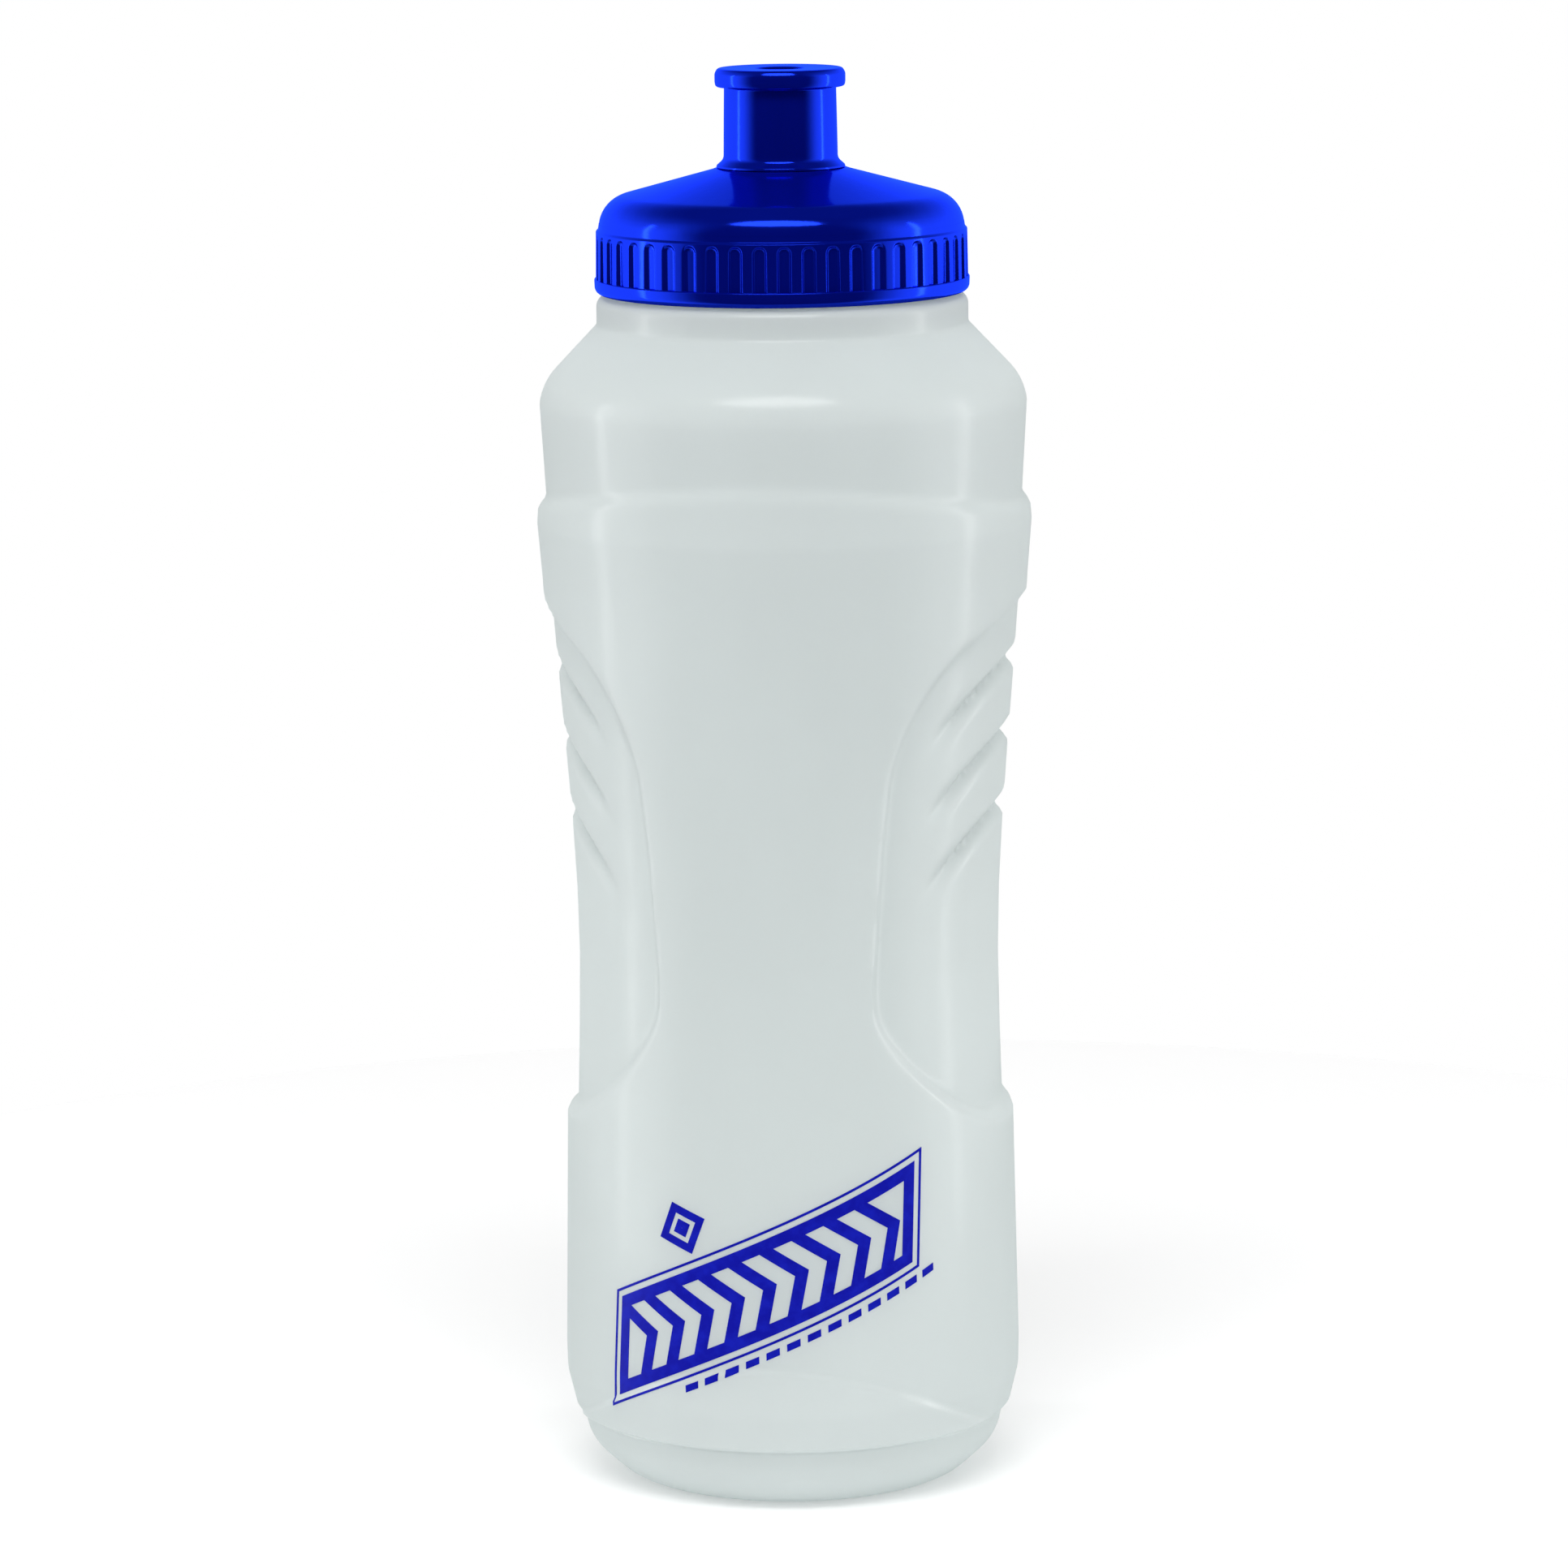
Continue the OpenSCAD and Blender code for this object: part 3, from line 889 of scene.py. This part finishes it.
@dataclass
class GripSlots:
    """The narrow slots around the lid's skirt, square at the rim band and round at the top."""

    count: int = 48
    half_width: float = 1.1
    floor_radius: float = 32.3
    foot: float = 216.2
    top: float = 224.0
    softness: float = 0.27
    rim_radius: float = 33.0

    def angles(self) -> np.ndarray:
        """Angles for the skin's columns: 18 to a slot, crowded at its two edges."""
        spots = np.array([-2.16, -1.75, -1.45, -1.33, -1.22, -1.1, -0.98, -0.84, -0.5,
                          0.0, 0.5, 0.84, 0.98, 1.1, 1.22, 1.33, 1.45, 1.75]) / self.rim_radius
        turn = np.arange(self.count)[:, None] * 2 * np.pi / self.count
        return (turn + spots).ravel()

    def share(self, angle: np.ndarray, height: np.ndarray) -> np.ndarray:
        """How much of a slot's depth is reached: 0 on a rib's face and 1 on the slot's floor.

        The distance from a slot's middle line, which ends at the centre of its round top, less
        its half width, goes through a smooth step.

        Args:
            angle: Angle from the front, in radians.
            height: Height.

        Returns:
            The share from 0 to 1.
        """
        pitch = 2 * np.pi / self.count
        off = (angle + pitch / 2) % pitch - pitch / 2
        above = np.maximum(height - (self.top - self.half_width), 0.0)
        distance = np.hypot(off * self.rim_radius, above) - self.half_width
        inside = 1.0 - ease(distance, -self.softness, self.softness)
        return inside * (height > self.foot - 0.02)


@dataclass
class LidShell:
    """The lid: skirt with slots, dome, and the fixed stem that the spout slides on."""

    slots: GripSlots
    material: bpy.types.Material
    lid_radius: float = 33.25
    skirt_bore: float = 31.2
    bottom: float = 213.5
    dome_slope: float = 15.2
    dome_top: tuple[float, float] = (12.4, 235.1)
    dome_edge: float = 32.1
    stem_bore: float = 6.0
    stem_wall: float = 7.6
    ceiling: float = 225.4

    def skirt(self) -> np.ndarray:
        """The outline from the skirt's lower edge up over its ribs to the foot of the dome."""
        r = self.lid_radius
        return bend_corners(np.array([
            (31.6, self.bottom, 0.0), (r - 0.1, self.bottom, 1.3), (r, 216.2, 0.28),
            (r - 0.28, 216.2, 0.06), (r - 0.4, 224.5, 0.18), (r - 0.78, 224.9, 0.2),
            (r - 0.95, 225.9, 0.0)]))

    def dome(self) -> np.ndarray:
        """The outline from the dome's foot to the spout's seat, and up the stem to its top."""
        drop = (self.dome_edge - self.dome_top[0]) * math.tan(math.radians(self.dome_slope))
        stem, bore = self.stem_wall, self.stem_bore
        return bend_corners(np.array([
            (32.3, 225.9, 0.0), (self.dome_edge, self.dome_top[1] - drop, 6.0),
            (*self.dome_top, 0.4), (11.6, 235.4, 0.2), (stem, 235.4, 0.3), (stem, 243.7, 0.3),
            (8.2, 244.3, 0.3), (8.2, 245.0, 0.4), (stem, 245.8, 0.2), (7.45, 246.3, 0.2),
            (bore, 246.3, 0.15), (bore, 240.0, 0.0)]))

    def underside(self) -> np.ndarray:
        """The outline from the stem's bore, under the dome, and down the skirt's inside."""
        bore, wide = self.stem_bore, self.skirt_bore
        return bend_corners(np.array([
            (bore, 239.0, 0.0), (bore, 233.9, 0.6), (27.1, 229.4, 1.5), (27.3, self.ceiling, 0.2),
            (wide, self.ceiling, 0.2), (wide, self.bottom, 0.25), (31.5, self.bottom, 0.0)]))

    def build(self) -> bpy.types.Object:
        """Builds the closed skin, with many columns on the skirt and a sixth of them elsewhere."""
        skin = Skin()
        fine = self.slots.angles()
        coarse = fine[::6]
        gaps = np.array([[213, 0.9], [216, 0.9], [216.4, 1.3], [221.9, 1.3], [222.6, 0.13],
                         [224.3, 0.13], [224.8, 0.4], [226, 0.6]])
        skirt = spread_rows(self.skirt(), gaps, 16.0)
        share = self.slots.share(fine[None], skirt[:, 1:])
        share = np.where(skirt[:, :1] < self.lid_radius - 0.2, share, 0.0)
        radius = skirt[:, :1] - share * (skirt[:, :1] - self.slots.floor_radius)
        foot, crease = skin.tube(around(radius, fine[None], skirt[:, 1:]))
        dome, under = spread_rows(self.dome(), 0.9, 9.0), spread_rows(self.underside(), 2.0, 12.0)
        rest = np.vstack([dome, under])
        first, last = skin.tube(around(rest[:, :1], coarse[None], rest[:, 1:]))
        skin.join(crease, first)
        skin.join(last, foot)
        piece = make_piece(skin, "lid_shell", 50.0)
        return settle(piece, self.material, Body.LID, "lid")


@dataclass
class ValvePin:
    """The pin that plugs the drinking hole, on three ribs inside the stem's top."""

    material: bpy.types.Material
    radius: float = 3.4
    low: float = 244.7
    top: float = 252.2
    rib_half: float = 0.8
    rib_reach: float = 6.8

    def build(self) -> bpy.types.Object:
        """Builds the pin as a turned skin, and each rib as a rounded bar run out from it."""
        skin = Skin()
        angle = (np.arange(96) * 2 * np.pi / 96)[None]
        outline = spread_rows(bend_corners(np.array([
            (0.4, self.low, 0.0), (self.radius, self.low, 0.2), (self.radius, self.top, 0.5),
            (0.4, self.top, 0.0)])), 0.8)
        first, last = skin.tube(around(outline[:, :1], angle, outline[:, 1:]))
        skin.pole(first, np.array([0.0, 0.0, self.low]), True)
        skin.pole(last, np.array([0.0, 0.0, self.top]), False)
        turn = np.linspace(0, 2 * np.pi, 25)[:-1]
        squircle = np.stack([np.cos(turn), np.sin(turn)], -1)
        squircle = np.sign(squircle) * np.abs(squircle) ** 0.35 * self.rib_half
        out = np.linspace(2.2, self.rib_reach, 8)[:, None]
        for a in np.radians([0.0, 120.0, 240.0]):
            grid = np.stack(np.broadcast_arrays(
                out * math.cos(a) - squircle[:, 0] * math.sin(a),
                out * math.sin(a) + squircle[:, 0] * math.cos(a),
                self.low + self.rib_half + squircle[:, 1]), -1)
            first, last = skin.tube(grid)
            skin.pole(first, grid[0].mean(0), True)
            skin.pole(last, grid[-1].mean(0), False)
        piece = make_piece(skin, "lid_valve_pin")
        return settle(piece, self.material, Body.LID, "lid")


@dataclass
class Gasket:
    """The flat sealing ring between the lid and the bottle's mouth."""

    material: bpy.types.Material
    inner: float = 27.4
    outer: float = 31.0
    low: float = 224.2
    high: float = 225.4

    def build(self) -> bpy.types.Object:
        """Turns a rounded rectangle around the axis."""
        outline = bend_corners(np.array([
            (self.inner, self.low, 0.3), (self.outer, self.low, 0.3),
            (self.outer, self.high, 0.3), (self.inner, self.high, 0.3)]), closed=True)
        piece = make_piece(revolve(spread_rows(outline, 0.6, 15.0), 160), "sealing_ring")
        return settle(piece, self.material, Body.GASKET, "lid_gasket")


@dataclass
class Spout:
    """The push-pull spout: flared foot, tube, drinking lip, and the bore inside."""

    material: bpy.types.Material
    tube: float = 10.0
    lip: float = 11.55
    foot_height: float = 235.5
    top: float = 253.0
    hole: float = 3.5

    def build(self) -> bpy.types.Object:
        """Turns the spout's outline, up its outside and down its bore, around the axis."""
        low_lip = self.top - 3.3
        outline = bend_corners(np.array([
            (11.45, self.foot_height, 0.15), (11.3, self.foot_height + 0.45, 0.3),
            (self.tube + 0.1, self.foot_height + 1.5, 1.5), (self.tube, 243.9, 30.0),
            (self.tube - 0.1, low_lip, 0.35), (self.lip - 0.15, low_lip, 0.55),
            (self.lip, low_lip + 0.9, 1.5), (self.lip, self.top - 0.95, 1.2),
            (self.lip - 0.5, self.top, 0.8), (self.hole + 0.75, self.top - 0.1, 0.6),
            (self.hole, self.top - 0.9, 0.3), (self.hole, 250.4, 0.15), (8.25, 250.4, 0.5),
            (8.25, 237.8, 0.2), (7.65, 237.5, 0.2), (7.65, self.foot_height, 0.2),
        ]), closed=True)
        piece = make_piece(revolve(spread_rows(outline, 0.8, 8.0), 144), "spout_body", 55.0)
        return settle(piece, self.material, Body.SPOUT, "spout")


# ---- print ---------------------------------------------------------------------------------------


@dataclass
class FrontPrint:
    """A plain ink pattern on the lower front: a slanted band of chevrons, a rule and a diamond.

    Its sheet is laid around the bottle: s is the distance around from the front, at the wrap
    radius, and z the height.
    """

    shell: BottleShell
    material: bpy.types.Material
    middle: tuple[float, float] = (-1.0, 41.5)
    slant: float = 24.0
    half_long: float = 29.0
    half_high: float = 6.0
    chevrons: int = 9
    dashes: int = 13
    dash_pitch: float = 4.0
    rule_drop: float = 11.8
    gem_half: float = 4.2
    gem_place: tuple[float, float] = (-9.0, 15.5)
    wrap_radius: float = 40.9
    film: float = 0.13
    raised: float = 0.11

    def turned(self, points: np.ndarray) -> np.ndarray:
        """Turns flat points by the slant and moves them to the print's middle.

        Args:
            points: Flat points, with s, z last.

        Returns:
            The turned and moved points.
        """
        a = math.radians(self.slant)
        s = points[..., 0] * math.cos(a) - points[..., 1] * math.sin(a) + self.middle[0]
        z = points[..., 0] * math.sin(a) + points[..., 1] * math.cos(a) + self.middle[1]
        return np.stack([s, z], -1)

    def lay(self, skin: Skin, sheet: np.ndarray, ring: bool) -> None:
        """Lays a flat grid on the wall as a film with a top, a bottom and closed edges.

        Args:
            skin: Where it is gathered.
            sheet: Rows, columns and s, z. Rows run across a stroke, from one edge to the other.
            ring: True when the last column joins the first.
        """
        angle, height = sheet[..., 0] / self.wrap_radius, sheet[..., 1]
        wall = self.shell.radius(angle, height)
        top = around(wall + self.raised, angle, height)
        low = around(wall + self.raised - self.film, angle, height)
        loop = np.concatenate([top, low[::-1]])
        number = skin.add(loop)
        wrapped = np.concatenate([number, number[:1]])
        if ring:
            wrapped = np.concatenate([wrapped, wrapped[:, :1]], 1)
        low_row, high_row = wrapped[:-1], wrapped[1:]
        faces = np.stack([low_row[:, :-1], low_row[:, 1:], high_row[:, 1:], high_row[:, :-1]], -1)
        skin.quads.append(faces.reshape(-1, 4))
        if not ring:
            rows = len(top)
            for end, flip in ((0, 1), (-1, -1)):
                line = number[:, end]
                caps = np.stack([line[: rows - 1], line[1:rows],
                                 line[::-1][1:rows], line[::-1][: rows - 1]], -1)
                skin.quads.append(caps[:, ::flip])

    def stroke(self, skin: Skin, left: np.ndarray, right: np.ndarray, ring: bool = False,
               across: int = 3) -> None:
        """Fills between two lines of flat points.

        Args:
            skin: Where it is gathered.
            left: One edge's points.
            right: The other edge's, as many.
            ring: True when both edges are closed.
            across: Rows from edge to edge.
        """
        t = np.linspace(0.0, 1.0, across)[:, None, None]
        self.lay(skin, self.turned(left[None] * (1 - t) + right[None] * t), ring)

    @staticmethod
    def cut(sides: np.ndarray, gap: float) -> tuple[np.ndarray, np.ndarray]:
        """Cuts each straight side into equal steps of about the gap.

        Args:
            sides: From each side's start to its end.
            gap: About how long a step is.

        Returns:
            For every step's start, the number of its side, and its share of the way along it.
        """
        count = np.maximum(np.ceil(np.linalg.norm(sides, axis=1) / gap), 1).astype(int)
        side = np.repeat(np.arange(len(count)), count)
        place = np.arange(count.sum()) - np.repeat(np.cumsum(count) - count, count)
        return side, (place / count[side])[:, None]

    def line(self, corners: np.ndarray, gap: float) -> np.ndarray:
        """Sets points along the straight sides from corner to corner.

        Args:
            corners: The corners in order, with s, z last.
            gap: The longest step between two points.

        Returns:
            The points, with the first and the last corner among them.
        """
        side, t = self.cut(corners[1:] - corners[:-1], gap)
        points = corners[:-1][side] * (1 - t) + corners[1:][side] * t
        return np.vstack([points, corners[-1:]])

    def frame_band(self, skin: Skin, corners: np.ndarray, inner: float, outer: float) -> None:
        """Runs a closed band around a shape with four corners.

        Args:
            skin: Where it is gathered.
            corners: The shape's corners, anticlockwise.
            inner: How far the band's inner edge lies outside the shape.
            outer: How far its outer edge does.
        """
        before = corners - np.roll(corners, 1, axis=0)
        after = np.roll(corners, -1, axis=0) - corners
        n1 = np.stack([before[:, 1], -before[:, 0]], -1) / np.linalg.norm(before, axis=1)[:, None]
        n2 = np.stack([after[:, 1], -after[:, 0]], -1) / np.linalg.norm(after, axis=1)[:, None]
        mitre = (n1 + n2) / (1 + (n1 * n2).sum(1))[:, None]
        side, t = self.cut(after, 0.5)

        def edge(distance: float) -> np.ndarray:
            """The closed line at a distance outside the shape."""
            spots = corners + mitre * distance
            return spots[side] * (1 - t) + np.roll(spots, -1, axis=0)[side] * t

        self.stroke(skin, edge(inner), edge(outer), ring=True, across=4)

    def build(self) -> bpy.types.Object:
        """Builds the film from its strokes: frame, outline, chevrons, dashes and diamond."""
        skin = Skin()
        half_long, half_high, lean = self.half_long, self.half_high, 3.0
        box = np.array([(-half_long - lean, -half_high), (half_long - lean, -half_high),
                        (half_long + lean, half_high), (-half_long + lean, half_high)])
        self.frame_band(skin, box, 0.0, 2.1)
        self.frame_band(skin, box, 3.1, 3.55)
        tip, width = 4.2, 2.7
        for k in range(self.chevrons):
            p = -half_long + 0.6 + k * (2 * half_long - 2.0) / self.chevrons
            zig = np.array([(p, -half_high), (p + tip, 0.0), (p, half_high)])
            left = self.line(zig, 0.6)
            self.stroke(skin, left, left + np.array([width, 0.0]))
        length, slope, thickness = 2.6, 0.5, 1.2
        for k in range(self.dashes):
            p = k * self.dash_pitch - 20.0
            dash = self.line(np.array([(p, -self.rule_drop), (p + length, -self.rule_drop)]), 0.5)
            self.stroke(skin, dash, dash + np.array([slope, thickness]), across=4)
        h = self.gem_half
        gem, place = np.array([(0.0, -h), (h, 0.0), (0.0, h), (-h, 0.0)]), np.array(self.gem_place)
        self.frame_band(skin, gem + place, -0.9, 0.5)
        self.frame_band(skin, gem * 0.42 + place, -1.2, 0.0)
        piece = make_piece(skin, "front_print")
        return settle(piece, self.material, Body.BOTTLE)


# ---- studio --------------------------------------------------------------------------------------


@dataclass(frozen=True)
class Viewpoint:
    """Where the camera stands, and how it is held."""

    distance: float = 1.217
    rise: float = 9.5
    swing: float = 6.8
    aim_height: float = 0.125
    aim_left: float = 0.00058
    view_angle: float = 13.175
    roll: float = 0.6

    def build(self) -> bpy.types.Object:
        """Makes the camera, whose axes are right, up and backwards, and makes it the scene's."""
        e, s, r = (math.radians(v) for v in (self.rise, self.swing, self.roll))
        right = Vector((math.cos(s), math.sin(s), 0.0))
        back = Vector((math.sin(s) * math.cos(e), -math.cos(s) * math.cos(e), math.sin(e)))
        up = back.cross(right)
        aim = Vector((0.0, 0.0, self.aim_height)) - right * self.aim_left
        held_right = right * math.cos(r) - up * math.sin(r)
        held_up = up * math.cos(r) + right * math.sin(r)
        turn = Matrix((held_right, held_up, back)).transposed()
        lens = bpy.data.cameras.new("camera")
        lens.angle = math.radians(self.view_angle)
        lens.clip_end = 50.0
        camera = bpy.data.objects.new("camera", lens)
        camera.matrix_world = Matrix.Translation(aim + back * self.distance) @ turn.to_4x4()
        bpy.context.scene.collection.objects.link(camera)
        bpy.context.scene.camera = camera
        return camera


@dataclass(frozen=True)
class Softbox:
    """A flat studio light."""

    name: str
    place: tuple[float, float, float]
    target: tuple[float, float, float]
    size: tuple[float, float]
    power: float

    def build(self) -> bpy.types.Object:
        """Makes the light and turns it to its target."""
        data = bpy.data.lights.new(self.name, "AREA")
        data.shape, data.size, data.size_y = "ELLIPSE", self.size[0], self.size[1]
        data.energy = self.power
        light = bpy.data.objects.new(self.name, data)
        light.location = self.place
        aim = Vector(self.target) - Vector(self.place)
        light.rotation_euler = aim.to_track_quat("-Z", "Y").to_euler()
        bpy.context.scene.collection.objects.link(light)
        return light


@dataclass
class Studio:
    """The pale floor, the soft lights and the surround."""

    floor_radius: float = 0.28
    floor_back: float = 0.10
    swing: float = Viewpoint.swing
    strip_angle: float = 94.0

    def floor(self) -> None:
        """A round pale floor, as rings that widen outwards."""
        skin = Skin()
        angle = (np.arange(96) * 2 * np.pi / 96)[None]
        radius = np.geomspace(0.02, self.floor_radius, 24)[:, None] / MM
        grid = around(radius, angle, np.zeros_like(radius))[::-1]
        _, inner = skin.tube(grid + np.array([0.0, self.floor_back / MM, 0.0]))
        skin.pole(inner, np.array([0.0, self.floor_back / MM, 0.0]), False)
        piece = make_piece(skin, "studio_floor")
        piece.data.materials.append(StudioPaper().build())

    def surround(self) -> None:
        """Pale walls behind and in front of the bottle, with greyer ones at its sides.

        A direction's light grows with how far it points to the back or to the front. Reflections
        see a bright wall behind, which fades upwards, and a dark front; the camera sees white.
        """
        world = bpy.data.worlds.new("surround")
        world.use_nodes = True
        bpy.context.scene.world = world
        nodes, links = world.node_tree.nodes, world.node_tree.links
        out, white = nodes["World Output"], nodes["Background"]
        white.inputs["Color"].default_value = (1.0, 1.0, 1.0, 1.0)
        place = nodes.new("ShaderNodeTexCoord")
        turn = math.radians(self.swing)
        backward = nodes.new("ShaderNodeVectorMath")
        backward.operation = "DOT_PRODUCT"
        backward.inputs[1].default_value = (-math.sin(turn), math.cos(turn), 0.0)
        links.new(place.outputs["Generated"], backward.inputs[0])
        upward = nodes.new("ShaderNodeSeparateXYZ")
        links.new(place.outputs["Generated"], upward.inputs["Vector"])

        def fade(source: bpy.types.NodeSocket, start: float, end: float, low: float,
                 high: float) -> bpy.types.NodeSocket:
            """Steps smoothly from low to high.

            Args:
                source: The share of a direction that drives the step.
                start: The share where the step starts.
                end: The share where it ends.
                low: The value before the step.
                high: The value after it.

            Returns:
                The socket that gives the value.
            """
            step = nodes.new("ShaderNodeMapRange")
            step.interpolation_type = "SMOOTHSTEP"
            for name, value in (("From Min", start), ("From Max", end),
                                ("To Min", low), ("To Max", high)):
                step.inputs[name].default_value = value
            links.new(source, step.inputs["Value"])
            return step.outputs["Result"]

        lengthways = nodes.new("ShaderNodeMath")
        lengthways.operation = "ABSOLUTE"
        links.new(backward.outputs["Value"], lengthways.inputs[0])
        wall = fade(lengthways.outputs["Value"], 0.1, 0.8, 0.52, 0.97)
        mirrored = fade(backward.outputs["Value"], -0.66, -0.05, 0.0, 4.1)
        top = fade(upward.outputs["Z"], 0.12, 0.86, 1.0, 0.04)
        both = nodes.new("ShaderNodeMath")
        both.operation = "MULTIPLY"
        links.new(mirrored, both.inputs[0])
        links.new(top, both.inputs[1])
        light, shine = nodes.new("ShaderNodeBackground"), nodes.new("ShaderNodeBackground")
        links.new(wall, light.inputs["Strength"])
        links.new(both.outputs["Value"], shine.inputs["Strength"])
        path = nodes.new("ShaderNodeLightPath")
        below = light.outputs["Background"]
        for flag, other in (("Is Glossy Ray", shine), ("Is Camera Ray", white)):
            mix = nodes.new("ShaderNodeMixShader")
            links.new(path.outputs[flag], mix.inputs["Fac"])
            links.new(below, mix.inputs[1])
            links.new(other.outputs["Background"], mix.inputs[2])
            below = mix.outputs["Shader"]
        links.new(below, out.inputs["Surface"])

    def build(self) -> None:
        """Puts up the floor, the softbox over the front, a strip at each side, and the surround."""
        self.floor()
        Softbox("front_softbox", place=(0.035, -0.70, 1.19), target=(0.0, 0.0, 0.22),
                size=(1.0, 0.42), power=7.9).build()
        for name, side in (("left_strip", -1), ("right_strip", 1)):
            a = math.radians(self.swing + side * self.strip_angle)
            place = (math.sin(a), -math.cos(a), 0.25)
            Softbox(name, place, target=(0.0, 0.0, 0.2), size=(0.09, 0.9), power=1.8).build()
        self.surround()
        bpy.context.scene.view_settings.view_transform = "Standard"


def main() -> None:
    """Builds every piece around the frame, then the studio and the camera."""
    logging.basicConfig(level=logging.INFO, format="%(name)s: %(message)s")
    milky, blue = MilkyPlastic().build(), BluePlastic().build()
    shell = BottleShell(GripPanel(), milky)
    shell.build()
    Thread("neck_thread", wall_radius=29.8, side=Side.OUTSIDE, start_height=216.2,
           start_angle=90.0).build(milky, Body.BOTTLE, Slot.MILKY, "bottle")
    FrontPrint(shell, PrintInk().build()).build()
    LidShell(GripSlots(), blue).build()
    Thread("lid_thread", wall_radius=LidShell.skirt_bore, side=Side.INSIDE,
           start_height=214.1 + Thread.pitch * 130 / 360,
           start_angle=220.0).build(blue, Body.LID, Slot.BLUE, "lid")
    ValvePin(blue).build()
    Gasket(SealRubber().build()).build()
    Spout(blue).build()
    Studio().build()
    Viewpoint().build()


if __name__ == "__main__":
    main()
